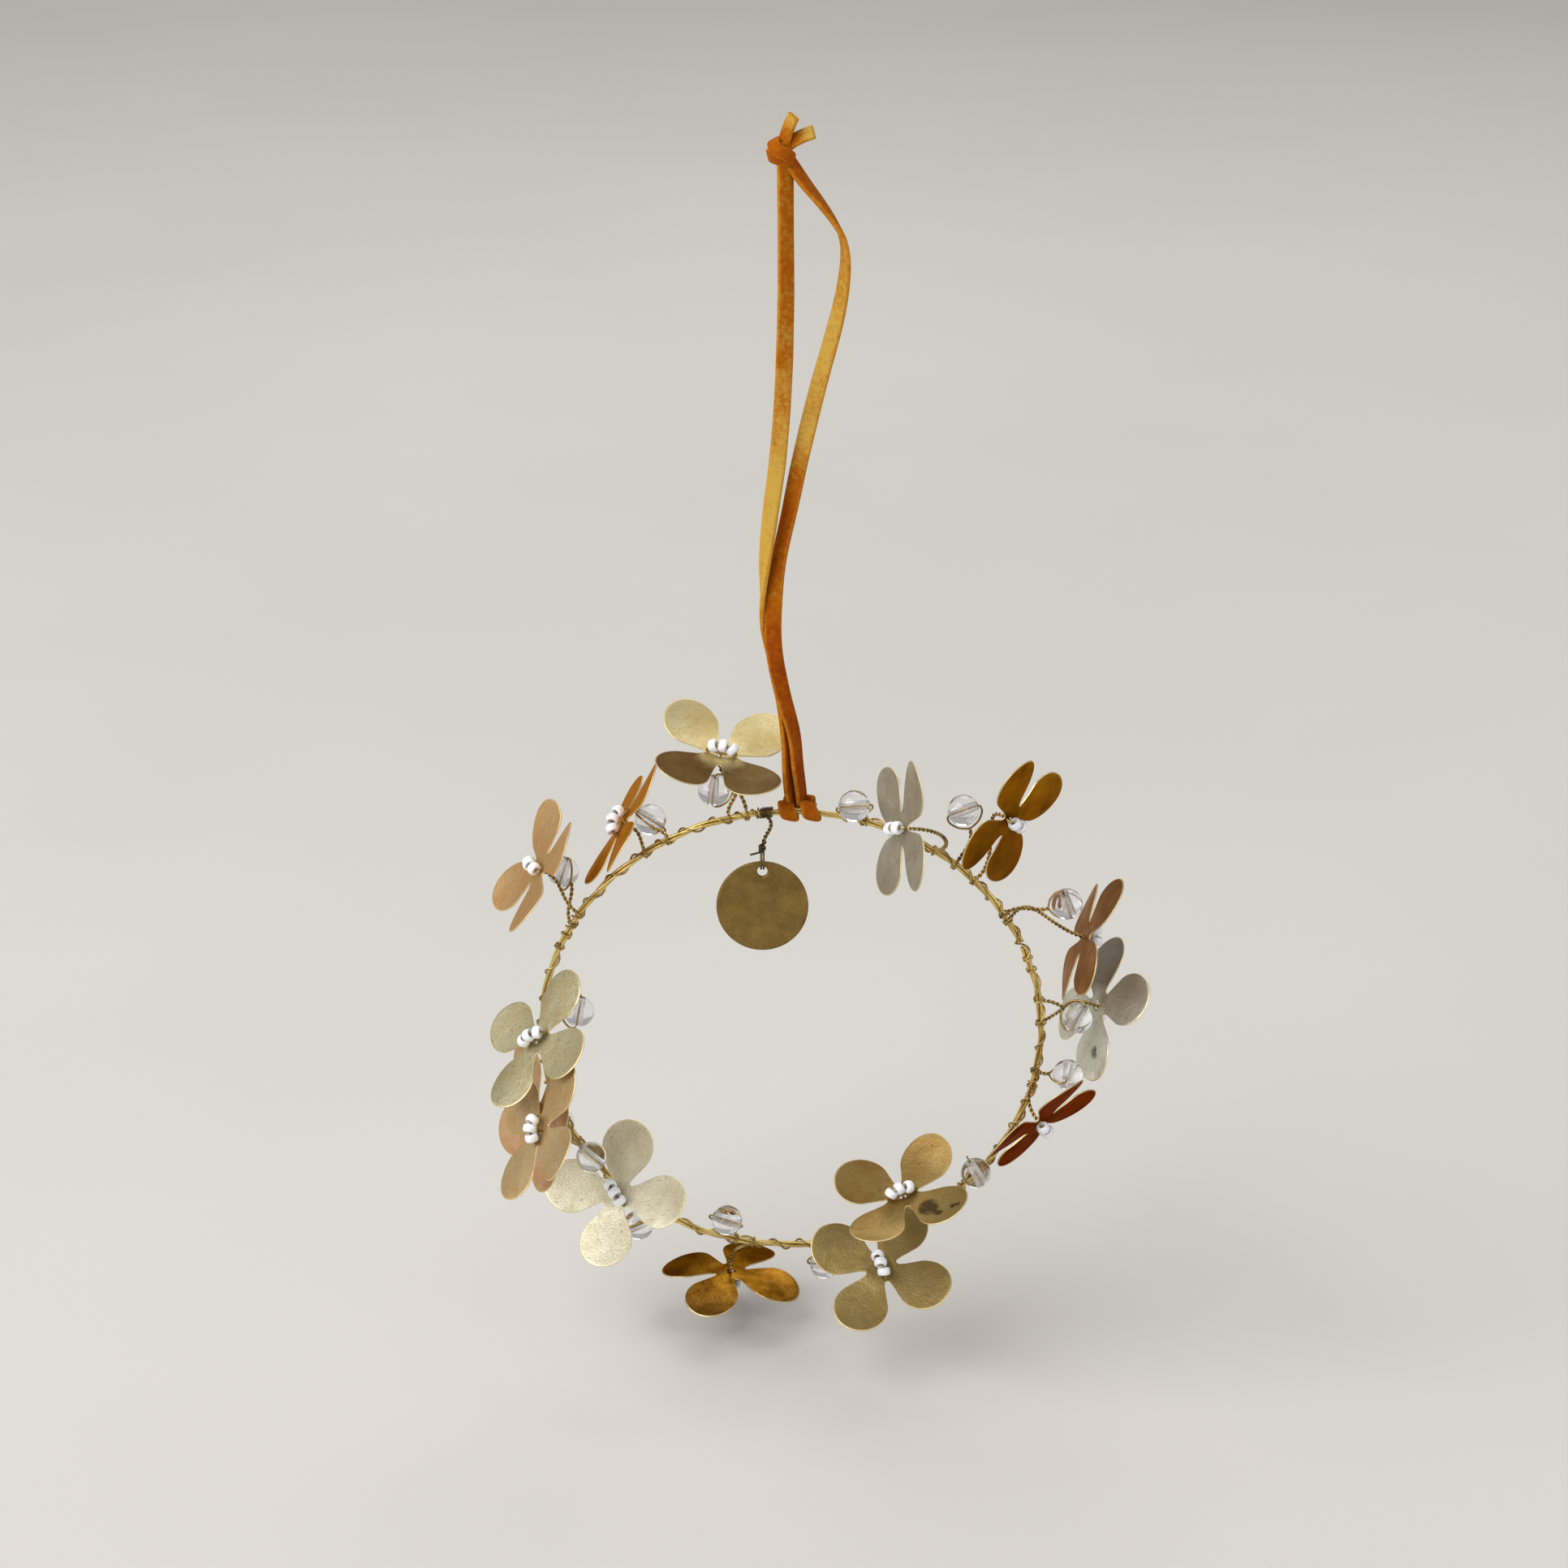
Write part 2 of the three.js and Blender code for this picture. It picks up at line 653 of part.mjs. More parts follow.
BINDING_RUNS.forEach((run, index) => {
  const held = stems.filter((stem) => stem.clock > run.from && stem.clock < run.to);
  held.sort((a, b) => a.clock - b.clock);
  const points = wrapPoints(wrapStops(run, held));
  const wrap = tube(new PointPath(points), WIRE_DIAMETER, WIRE_SIDES, points.length - 1);
  const branches = held.flatMap((stem) => {
    const start = besideRing(stem.clock, wrapOrbit, stem.phase);
    const away = start.clone().addScaledVector(outward(stem.clock), -ringRadius).normalize();
    return stem.solids(start, away);
  });
  addMesh(wreath, `binding_wire_${index + 1}`, joined([wrap, ...branches]), wireBrass);
  const turnGap = leastGapOfWinding(points).toFixed(2);
  console.log(`binding wire ${index + 1}: least gap between turns ${turnGap} mm`);
});

// Tag and its wire: the wire is wound round the ring and ends in a loop through the tag's hole
const tagRadius = TAG_DIAMETER / 2;
const tagBlank = new THREE.Shape().absarc(0, 0, tagRadius, 0, 2 * Math.PI, false);
const tagHoleHeight = tagRadius - TAG_HOLE_INSET;
tagBlank.holes.push(new THREE.Path().absarc(0, tagHoleHeight, TAG_HOLE_DIAMETER / 2, 0, 2 * Math.PI, true));
const tagSheet = new THREE.ExtrudeGeometry(tagBlank, {
  depth: TAG_THICKNESS, bevelEnabled: false, curveSegments: TAG_SEGMENTS,
});
tagSheet.translate(0, -tagHoleHeight, -TAG_THICKNESS / 2);
const tagHolePlace = outward(TAG_CLOCK).multiplyScalar(ringRadius);
tagHolePlace.add(new THREE.Vector3(-TAG_SIDE, 0, -TAG_DROP));
const tag = addMesh(wreath, 'tag', tagSheet, tagBrass);
tag.rotation.x = toRadians(90 - TAG_LEAN);
tag.position.copy(tagHolePlace);

const tagLoopRadius = TAG_HOLE_INSET;
const tagLoop = new THREE.TorusGeometry(tagLoopRadius, WIRE_DIAMETER / 2, WIRE_SIDES, TAG_SEGMENTS);
tagLoop.rotateY(Math.PI / 2);
tagLoop.rotateX(-toRadians(TAG_LEAN));
const tagUp = new THREE.Vector3(0, Math.sin(toRadians(TAG_LEAN)), Math.cos(toRadians(TAG_LEAN)));
const tagRest = TAG_HOLE_DIAMETER / 2 - FIT_GAP - WIRE_DIAMETER / 2;
const tagLoopCentre = tagHolePlace.clone().addScaledVector(tagUp, tagLoopRadius + tagRest);
tagLoop.translate(tagLoopCentre.x, tagLoopCentre.y, tagLoopCentre.z);
const tagLoopTop = tagLoopCentre.clone().addScaledVector(tagUp, tagLoopRadius);
const tagRootPhase = phaseTowards(TAG_CLOCK, tagLoopTop);
const tagRoot = besideRing(TAG_CLOCK, wrapOrbit, tagRootPhase);
const tagStem = tube(new THREE.LineCurve3(tagRoot, tagLoopTop), STEM_DIAMETER, WIRE_SIDES, 1);
const tagWrapPoints = wrapPoints([
  { clock: TAG_CLOCK - TAG_WRAP_HALF, phase: tagRootPhase - Math.PI },
  { clock: TAG_CLOCK, phase: tagRootPhase },
  { clock: TAG_CLOCK + TAG_WRAP_HALF, phase: tagRootPhase + Math.PI },
]);
const tagWrap = tube(new PointPath(tagWrapPoints), WIRE_DIAMETER, WIRE_SIDES, tagWrapPoints.length - 1);
addMesh(wreath, 'tag_wire', joined([tagLoop, tagStem, tagWrap]), wireBrass);

// Suede hanger: a hitch of two turns with a bar across the front, two legs and the knot with its ends
function laceSection() {
  const halfWidth = LACE_WIDTH / 2;
  const halfDepth = LACE_THICKNESS / 2;
  return new THREE.Shape([
    new THREE.Vector2(-halfWidth + LACE_CORNER, -halfDepth),
    new THREE.Vector2(halfWidth - LACE_CORNER, -halfDepth),
    new THREE.Vector2(halfWidth, -halfDepth + LACE_CORNER),
    new THREE.Vector2(halfWidth, halfDepth - LACE_CORNER),
    new THREE.Vector2(halfWidth - LACE_CORNER, halfDepth),
    new THREE.Vector2(-halfWidth + LACE_CORNER, halfDepth),
    new THREE.Vector2(-halfWidth, halfDepth - LACE_CORNER),
    new THREE.Vector2(-halfWidth, -halfDepth + LACE_CORNER),
  ]);
}

// A lace's path keeps the flat side of the lace turned to the front.
class LacePath extends THREE.CatmullRomCurve3 {
  computeFrenetFrames(segments) {
    const frames = { tangents: [], normals: [], binormals: [] };
    for (let step = 0; step <= segments; step += 1) {
      const tangent = this.getTangentAt(step / segments);
      const across = new THREE.Vector3().crossVectors(FORWARD, tangent).normalize();
      frames.tangents.push(tangent);
      frames.normals.push(across);
      frames.binormals.push(new THREE.Vector3().crossVectors(tangent, across));
    }
    return frames;
  }
}

function lace(points) {
  const path = new LacePath(points.map((point) => new THREE.Vector3(...point)));
  const steps = Math.ceil(path.getLength() / LACE_STEP) + 1;
  return new THREE.ExtrudeGeometry(laceSection(), { steps, extrudePath: path, bevelEnabled: false });
}

const hitchEnd = LACE_WIDTH + FIT_GAP / 2;
const ringBow = (hitchEnd * hitchEnd) / (2 * ringRadius);
const hitchBore = bundleRadius + FIT_GAP + ringBow;
const hitchOutside = hitchBore + LACE_THICKNESS;
const hitchOutline = [];
for (const turn of [-1, 1]) {
  const middle = (turn * (LACE_WIDTH + FIT_GAP)) / 2;
  hitchOutline.push(new THREE.Vector2(hitchBore + LACE_THICKNESS / 2, middle - LACE_WIDTH / 2));
  hitchOutline.push(new THREE.Vector2(hitchOutside, middle - HITCH_FLAT_WIDTH / 2));
  hitchOutline.push(new THREE.Vector2(hitchOutside, middle + HITCH_FLAT_WIDTH / 2));
  hitchOutline.push(new THREE.Vector2(hitchBore + LACE_THICKNESS / 2, middle + LACE_WIDTH / 2));
}
hitchOutline.push(new THREE.Vector2(hitchBore, hitchEnd));
hitchOutline.push(new THREE.Vector2(hitchBore, -hitchEnd));
const hitchTurns = turned(hitchOutline, HITCH_SIDES).rotateZ(-Math.PI / 2);
const hitchBar = new THREE.BoxGeometry(2 * hitchEnd, LACE_THICKNESS, LACE_WIDTH);
hitchBar.translate(0, -hitchOutside, 0);
const hitch = addMesh(part, 'lace_hitch', joined([hitchTurns, hitchBar]), suede);
hitch.position.set(HITCH_SIDE, 0, -LACE_DROP);

function leg(side, route) {
  const beside = (side * (LACE_WIDTH + FIT_GAP)) / 2;
  return [
    [HITCH_SIDE + beside, 0, -LACE_DROP + hitchOutside + FIT_GAP],
    ...route.map(([across, back, share]) => [across, back, -share * LACE_DROP]),
    [beside, 0, -FIT_GAP / 2],
  ];
}

addMesh(part, 'lace_left_leg', lace(leg(-1, LEFT_LEG)), suede);
addMesh(part, 'lace_right_leg', lace(leg(1, RIGHT_LEG)), suede);

const knotFoot = FIT_GAP / 2;
const knotBody = new THREE.SphereGeometry(0.5, KNOT_SIDES, KNOT_ARC_STEPS);
knotBody.scale(KNOT_WIDTH, KNOT_DEPTH, KNOT_HEIGHT);
knotBody.translate(0, 0, knotFoot + KNOT_HEIGHT / 2);
const knotTurn = new THREE.TorusGeometry(KNOT_TURN_RADIUS, LACE_THICKNESS, KNOT_TURN_SIDES, KNOT_SIDES);
knotTurn.scale(1, KNOT_TURN_DEPTH_STRETCH, KNOT_TURN_HEIGHT_STRETCH);
knotTurn.rotateX(toRadians(KNOT_TURN_LEAN));
knotTurn.rotateY(toRadians(KNOT_TURN_SLANT));
knotTurn.translate(0, 0, knotFoot + KNOT_TURN_RISE);
const tailFoot = knotFoot + TAIL_RISE;
const tails = [-1, 1].map((side) => lace([
  [(side * TAIL_SPREAD) / 3, 0, tailFoot],
  [(side * TAIL_SPREAD * 2) / 3, side * LACE_THICKNESS / 3, tailFoot + TAIL_LENGTH / 2],
  [side * TAIL_SPREAD, side * LACE_THICKNESS / 2, tailFoot + TAIL_LENGTH],
]));
addMesh(part, 'lace_knot', joined([knotBody, knotTurn, ...tails]), suede);

export default part;
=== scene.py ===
"""Brass flower wreath on a suede lace: the finished look of every piece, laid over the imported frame.

Metres, +Z up, the front faces -Y. Sizes below are in millimetres and are scaled where a mesh is made.
"""

import math

import bpy
import numpy as np
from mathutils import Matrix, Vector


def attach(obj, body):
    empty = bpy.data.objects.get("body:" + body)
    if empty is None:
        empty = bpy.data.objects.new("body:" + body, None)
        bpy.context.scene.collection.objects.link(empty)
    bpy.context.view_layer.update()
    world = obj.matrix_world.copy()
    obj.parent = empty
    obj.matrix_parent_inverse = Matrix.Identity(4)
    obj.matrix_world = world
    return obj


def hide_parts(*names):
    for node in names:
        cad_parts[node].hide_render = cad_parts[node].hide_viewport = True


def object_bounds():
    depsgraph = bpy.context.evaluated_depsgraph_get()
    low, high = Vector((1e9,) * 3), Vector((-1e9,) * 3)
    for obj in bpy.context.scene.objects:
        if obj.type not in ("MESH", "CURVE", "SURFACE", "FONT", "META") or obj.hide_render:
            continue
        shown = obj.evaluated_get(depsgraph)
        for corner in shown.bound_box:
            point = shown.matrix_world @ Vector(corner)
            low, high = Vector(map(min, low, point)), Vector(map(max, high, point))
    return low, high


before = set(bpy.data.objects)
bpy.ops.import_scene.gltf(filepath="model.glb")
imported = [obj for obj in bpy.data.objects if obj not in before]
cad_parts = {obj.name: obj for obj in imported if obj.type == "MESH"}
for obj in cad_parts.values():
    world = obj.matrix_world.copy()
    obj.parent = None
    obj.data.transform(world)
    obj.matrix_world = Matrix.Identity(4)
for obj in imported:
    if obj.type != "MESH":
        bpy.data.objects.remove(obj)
packed_box = [list(corner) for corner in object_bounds()]

# Studio: a camera at the photograph's angle, a pale matt floor below the hanging wreath, one broad soft lamp
# at the upper left and two weaker ones that open the shadows.
MM = 0.001
FLOOR_GAP = 6.0
FLOOR_SIZE = 16000.0
AIR_COLOUR = (1.0, 0.985, 0.96, 1.0)
AIR_STRENGTH = 0.38

# Camera and lamps stand at places in metres. A lamp: its name, its place, its width in metres and its watts
CAMERA_PLACE = (-0.00142, -0.72043, 0.16942)
CAMERA_TILT = 68.29
CAMERA_LENS = 94.36
CAMERA_SENSOR = 36.0
LAMP_TARGET = (0.0, 0.0, -0.15)
LAMPS = [
    ("key_lamp", (-1.35, -0.9, 1.12), 2.25, 54.0),
    ("fill_lamp", (0.9, -0.7, 0.3), 0.9, 4.0),
    ("back_lamp", (0.2, 0.9, 0.8), 0.8, 4.0),
]

scene = bpy.context.scene
scene.view_settings.view_transform = "Standard"

camera_lens = bpy.data.cameras.new("front_camera")
camera_lens.sensor_width = CAMERA_SENSOR
camera_lens.lens = CAMERA_LENS
camera = bpy.data.objects.new("front_camera", camera_lens)
camera.location = CAMERA_PLACE
camera.rotation_euler = (math.radians(CAMERA_TILT), 0.0, 0.0)
scene.collection.objects.link(camera)
scene.camera = camera


def shade(red, green, blue):
    """A display colour, 0 to 255 a channel, as the linear colour that a shader takes: the usual 2.4 power
    curve with its straight foot."""
    channel = np.array([red, green, blue], float) / 255.0
    linear = np.where(channel <= 0.04045, channel / 12.92, ((channel + 0.055) / 1.055) ** 2.4)
    return (*[float(value) for value in linear], 1.0)


def blank_material(name):
    """An empty material with its node tree and its surface shader."""
    material = bpy.data.materials.new(name)
    material.use_nodes = True
    return material, material.node_tree, material.node_tree.nodes["Principled BSDF"]


def feed(tree, shader, values):
    """Numbers or sockets for the inputs of a shader node, by name or place."""
    for socket, value in values.items():
        if isinstance(value, bpy.types.NodeSocket):
            tree.links.new(value, shader.inputs[socket])
        else:
            shader.inputs[socket].default_value = value


def node(tree, kind, values=None, **options):
    """A new shader node with its inputs fed by values, and its own settings by options."""
    made = tree.nodes.new(kind)
    for option, value in options.items():
        setattr(made, option, value)
    feed(tree, made, values or {})
    return made


def cloud(tree, size, detail=4.0, rough=0.55, vector=None):
    """Soft noise, 0 to 1, whose patches are about size millimetres wide, on the piece's own coordinates."""
    place = vector or node(tree, "ShaderNodeTexCoord").outputs["Object"]
    values = {"Vector": place, "Scale": 1.0 / (size * MM), "Detail": detail, "Roughness": rough}
    return node(tree, "ShaderNodeTexNoise", values).outputs[0]


def ramp(tree, factor, stops):
    """A blend of colours along a factor: stops are pairs of place and linear colour."""
    made = node(tree, "ShaderNodeValToRGB", {"Fac": factor})
    elements = made.color_ramp.elements
    while len(elements) < len(stops):
        elements.new(1.0)
    for element, (place, colour) in zip(elements, stops):
        element.position = place
        element.color = colour
    return made.outputs["Color"]


floor_finish, tree, surface = blank_material("pale_floor")
tone = ramp(tree, cloud(tree, 400.0), [(0.3, shade(201, 198, 193)), (0.7, shade(208, 205, 200))])
feed(tree, surface, {"Base Color": tone, "Roughness": 0.9, "Specular IOR Level": 0.1})
floor_mesh = bpy.data.meshes.new("floor")
half = FLOOR_SIZE * MM / 2
ground = packed_box[0][2] - FLOOR_GAP * MM
corners = [(-half, -half, ground), (half, -half, ground), (half, half, ground), (-half, half, ground)]
floor_mesh.from_pydata(corners, [], [(0, 1, 2, 3)])
floor_mesh.materials.append(floor_finish)
floor = bpy.data.objects.new("floor", floor_mesh)
scene.collection.objects.link(floor)

world = bpy.data.worlds.new("studio_air")
world.use_nodes = True
world.node_tree.nodes["Background"].inputs["Color"].default_value = AIR_COLOUR
world.node_tree.nodes["Background"].inputs["Strength"].default_value = AIR_STRENGTH
scene.world = world

for lamp_name, place, size, watts in LAMPS:
    lamp_light = bpy.data.lights.new(lamp_name, "AREA")
    lamp_light.size = size
    lamp_light.energy = watts
    lamp = bpy.data.objects.new(lamp_name, lamp_light)
    lamp.location = place
    aim = np.array(LAMP_TARGET) - np.array(place)
    lamp.rotation_euler = (math.acos(-aim[2] / np.linalg.norm(aim)), 0.0, math.atan2(-aim[0], aim[1]))
    scene.collection.objects.link(lamp)

# Lace legs: one flat strip of ochre suede, folded in half. Its two halves run from the hitch on the ring up to
# the knot. They twist, the right one crosses over the left one, and it bows out below the knot.
LACE_WIDTH = 3.2
LACE_THICKNESS = 1.1
LACE_DROP = 123.0
LEG_STEP = 0.6
STRIP_POINTS = 28
STRIP_SQUARE = 0.4
STRIP_TRIM = 0.987
EDGE_WAVER = 0.0044
EDGE_WAVES = (3.1, 7.3, 12.7)
EDGE_START = 0.8
EDGE_FADE = 0.17
TWIST_SPAN = 17

# Points of each leg from the hitch up to the knot: to the right, back, and the share of the drop
LEFT_LEG = [
    (0.1, 1.2, 0.99), (-0.4, 0.8, 0.965), (-0.7, 0.4, 0.93), (-0.8, 0.1, 0.885), (-1.5, 0.4, 0.83),
    (-2.5, 1.0, 0.785), (-3.7, 1.5, 0.74), (-4.8, 1.1, 0.7), (-5.3, 0.2, 0.655), (-5.0, -0.5, 0.6),
    (-3.9, -0.8, 0.517), (-2.6, -0.8, 0.435), (-1.6, -0.8, 0.33), (-1.1, -0.5, 0.2), (-1.1, -0.4, 0.1),
    (-1.2, -0.4, -0.014),
]
RIGHT_LEG = [
    (2.0, 1.3, 0.99), (1.7, 0.9, 0.965), (1.2, 0.1, 0.93), (0.4, -0.6, 0.87), (-1.8, -0.9, 0.8),
    (-3.3, -0.8, 0.73), (-3.3, -0.3, 0.66), (-2.5, 0.5, 0.6), (-0.4, 0.8, 0.517), (1.6, 0.6, 0.435),
    (4.6, 0.4, 0.33), (8.5, 0.2, 0.206), (9.6, 0.0, 0.14), (9.2, 0.0, 0.102), (7.6, 0.0, 0.075),
    (5.2, 0.0, 0.047), (2.3, 0.2, 0.017), (-0.6, 0.4, -0.016),
]

# How far each leg is twisted, in degrees, along its length from the hitch to the knot
LEFT_TWIST = [
    (0.0, -118.0), (0.12, -125.0), (0.24, -130.0), (0.3, -120.0), (0.345, -88.0), (0.4, -56.0), (0.46, -32.0),
    (0.54, -14.0), (0.64, -12.0), (0.74, 18.0), (0.86, 32.0), (1.0, 30.0),
]
RIGHT_TWIST = [
    (0.0, 62.0), (0.12, 52.0), (0.22, 20.0), (0.3, 0.0), (0.36, -32.0), (0.42, -46.0), (0.5, -26.0),
    (0.62, -20.0), (0.74, -40.0), (0.84, -68.0), (0.92, -102.0), (1.0, -130.0),
]

# How the nap lies along each leg in the same way, from 0, dark, to 1, brushed pale. The values also carry painted
# light and shade: the pale stretches are painted light on the faces that the key lamp meets, and the right leg's dip
# near 0.42 is a painted shadow of the left leg.
LEFT_NAP_AND_LIGHT = [
    (0.0, 0.2), (0.22, 0.25), (0.3, 0.6), (0.36, 0.95), (0.55, 0.95), (0.66, 0.75), (0.74, 0.6), (1.0, 0.5),
]
RIGHT_NAP_AND_LIGHT = [
    (0.0, 0.2), (0.25, 0.25), (0.34, 0.45), (0.42, 0.3), (0.48, 0.38), (0.56, 0.88), (0.74, 0.95), (0.84, 0.75),
    (0.93, 0.4), (1.0, 0.35),
]

FRONT = np.array([0.0, -1.0, 0.0])


def unit(vectors):
    """Vectors made one long."""
    return vectors / np.linalg.norm(vectors, axis=-1, keepdims=True)


def even(path, step):
    """The same path with points about step apart: each coordinate is read off along the path's length."""
    length = np.concatenate([[0.0], np.cumsum(np.linalg.norm(np.diff(path, axis=0), axis=1))])
    count = max(2, int(round(length[-1] / step)) + 1)
    at = np.linspace(0.0, length[-1], count)
    return np.stack([np.interp(at, length, path[:, axis]) for axis in range(3)], axis=1)


def smooth_route(points, step, closed=False):
    """A smooth line through points: between two of them a cubic, whose end slopes run along the line from the
    point before to the point after."""
    p = np.array(points, float)
    if closed:
        p = np.vstack([p[-1:], p, p[:2]])
    else:
        p = np.vstack([2 * p[0] - p[1], p, 2 * p[-1] - p[-2]])
    at = np.concatenate([[0.0], np.cumsum(np.linalg.norm(np.diff(p, axis=0), axis=1))])
    slope = (p[2:] - p[:-2]) / (at[2:] - at[:-2])[:, None]
    point, knot = p[1:-1], at[1:-1]
    where = np.linspace(knot[0], knot[-1], int((knot[-1] - knot[0]) / step * 3) + 8)
    piece = np.clip(np.searchsorted(knot, where, side="right") - 1, 0, len(knot) - 2)
    width = (knot[piece + 1] - knot[piece])[:, None]
    t = (where[:, None] - knot[piece][:, None]) / width
    line = (
        (2 * t**3 - 3 * t**2 + 1) * point[piece]
        + (t**3 - 2 * t**2 + t) * width * slope[piece]
        + (3 * t**2 - 2 * t**3) * point[piece + 1]
        + (t**3 - t**2) * width * slope[piece + 1]
    )
    line = even(line, step)
    return line[:-1] if closed else line


def read_along(stops, count):
    """Values at count even places along a path, read off straight lines between stops: share of the path, value."""
    return np.interp(np.linspace(0.0, 1.0, count), *np.array(stops).T)


def along(path, closed=False):
    """Direction of travel at each point of a path."""
    if closed:
        return unit(np.roll(path, -1, axis=0) - np.roll(path, 1, axis=0))
    return unit(np.gradient(path, axis=0))


def carried(path, outline, beside, closed=False, scale=None):
    """A profile carried along a path: its first coordinate lies along beside, squared to the path, its second
    along the cross product of the path's direction and that. scale shrinks the profile point by point."""
    travel = along(path, closed)
    across = unit(beside - np.sum(beside * travel, axis=1, keepdims=True) * travel)
    over = np.cross(travel, across)
    size = np.ones(len(path)) if scale is None else scale
    flat = outline[None, :, :] * size[:, None, None]
    return path[:, None, :] + flat[:, :, :1] * across[:, None, :] + flat[:, :, 1:] * over[:, None, :]


def tube_faces(rows, columns, rows_closed):
    """Four-sided faces between neighbours of a grid that closes round its columns, and two end caps where the
    rows don't close."""
    row, column = np.meshgrid(np.arange(rows if rows_closed else rows - 1), np.arange(columns), indexing="ij")
    after, beyond = (row + 1) % rows, (column + 1) % columns
    quads = np.stack(
        [row * columns + column, row * columns + beyond, after * columns + beyond, after * columns + column], -1
    ).reshape(-1, 4)
    if rows_closed:
        return quads, []
    first = np.arange(columns)[::-1]
    last = (rows - 1) * columns + np.arange(columns)
    return quads, [first, last]


def piece(name, grids, finish, body, node_names, slot, values=None):
    """One object from closed grids of points in millimetres: each grid is turned to face outwards by the sign of the
    volume that its faces enclose, the object is tied to its body, and the imported solids that it stands for are
    hidden. The slot is not used."""
    vertices, faces, smooth = [], [], []
    start = 0
    for points, rows_closed in grids:
        rows, columns = points.shape[:2]
        flat = points.reshape(-1, 3)
        quads, caps = tube_faces(rows, columns, rows_closed)
        a, b, c, d = (flat[quads[:, corner]] - flat.mean(axis=0) for corner in range(4))
        volume = np.sum(a * np.cross(b, c)) + np.sum(a * np.cross(c, d))
        turn = 1 if volume > 0 else -1
        vertices.append(flat)
        faces.extend((quads[:, ::turn] + start).tolist())
        faces.extend((cap[::turn] + start).tolist() for cap in caps)
        smooth.extend([True] * len(quads) + [False] * len(caps))
        start += len(flat)
    mesh = bpy.data.meshes.new(name)
    mesh.from_pydata((np.concatenate(vertices) * MM).tolist(), [], faces)
    mesh.polygons.foreach_set("use_smooth", smooth)
    for label, numbers in (values or {}).items():
        mesh.attributes.new(label, "FLOAT", "POINT").data.foreach_set("value", numbers.astype(np.float32))
    mesh.materials.append(finish)
    mesh.update()
    made = bpy.data.objects.new(name, mesh)
    scene.collection.objects.link(made)
    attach(made, body)
    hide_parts(*node_names)
    return made


def strip_outline(width, thickness, square=STRIP_SQUARE):
    """Section of the suede strip: a rounded box, x and y each a signed power of cosine and sine. A small power
    squares it, a power of one makes it an ellipse."""
    turn = np.linspace(0.0, 2 * np.pi, STRIP_POINTS, endpoint=False)
    x = np.sign(np.cos(turn)) * np.abs(np.cos(turn)) ** square * width / 2
    y = np.sign(np.sin(turn)) * np.abs(np.sin(turn)) ** (square + 0.15) * thickness / 2
    return np.stack([x, y], axis=1)


def strip(path, beside, width=LACE_WIDTH, thickness=LACE_THICKNESS, square=STRIP_SQUARE, seed=1):
    """A suede strip along a path: its width wavers a little, as a sum of three slow waves, like a hand-cut
    edge."""
    share = np.linspace(0.0, 1.0, len(path))
    wave = sum(np.sin(2 * np.pi * (share * turns + 0.37 * seed * turns)) for turns in EDGE_WAVES)
    return carried(path, strip_outline(width, thickness, square), beside, scale=STRIP_TRIM - EDGE_WAVER * wave), False


def suede_marks(grids, nap_and_light):
    """Values for the suede at each point of some strips: how near it lies to the strip's cut edge, from 0 on the
    faces to 1, and how the nap lies there, a value that also carries painted light and shade."""
    across = np.abs(strip_outline(2.0, 1.0)[:, 0])
    edge = np.clip((across - EDGE_START) / EDGE_FADE, 0.0, 1.0)
    count = sum(len(points) for points, closed in grids)
    return {"cut_edge": np.tile(edge, count), "nap_and_painted_light": np.repeat(np.broadcast_to(nap_and_light, count), len(edge))}


def spread(tree, factor, low, high, start=0.3, end=0.7):
    """A factor between start and end, carried over to the range from low to high."""
    values = {"Value": factor, "From Min": start, "From Max": end, "To Min": low, "To Max": high}
    return node(tree, "ShaderNodeMapRange", values).outputs["Result"]


def sums(tree, operation, *values):
    """The result of a sum with numbers or sockets, such as ADD or MULTIPLY."""
    return node(tree, "ShaderNodeMath", dict(enumerate(values)), operation=operation).outputs[0]


def mark(tree, label):
    """A value that the mesh carries at each of its points."""
    return node(tree, "ShaderNodeAttribute", attribute_name=label).outputs["Fac"]


def blend(tree, factor, under, over):
    """One colour laid over another by a factor."""
    return node(tree, "ShaderNodeMix", {0: factor, 6: under, 7: over}, data_type="RGBA").outputs[2]


def relief(tree, height, depth):
    """A bump normal from a height, 0 to 1, that stands depth millimetres high."""
    values = {"Height": height, "Distance": depth * MM, "Strength": 1.0}
    return node(tree, "ShaderNodeBump", values).outputs["Normal"]


suede, tree, surface = blank_material("ochre_suede")
nap = cloud(tree, 0.9, detail=6.0, rough=0.7)
blotch = cloud(tree, 7.0, detail=3.0)
mixed = sums(tree, "ADD", mark(tree, "nap_and_painted_light"), spread(tree, nap, -0.22, 0.22))
mixed = sums(tree, "ADD", mixed, spread(tree, blotch, -0.12, 0.12))
# Colours along the nap and painted light: the dark red-brown end is partly painted shade, the pale yellow end partly
# painted light.
tone = ramp(
    tree, mixed,
    [(0.0, shade(126, 52, 2)), (0.25, shade(152, 70, 3)), (0.55, shade(164, 92, 6)), (1.0, shade(190, 152, 66))],
)
cut = sums(tree, "MULTIPLY", mark(tree, "cut_edge"), spread(tree, nap, 0.2, 0.6))
feed(tree, surface, {
    "Base Color": blend(tree, cut, tone, shade(204, 138, 40)),
    "Roughness": 0.95,
    "Specular IOR Level": 0.1,
    "Sheen Weight": 0.06,
    "Sheen Roughness": 0.45,
    "Sheen Tint": shade(236, 172, 70),
    "Normal": relief(tree, cloud(tree, 0.35, detail=5.0, rough=0.75), 0.12),
})


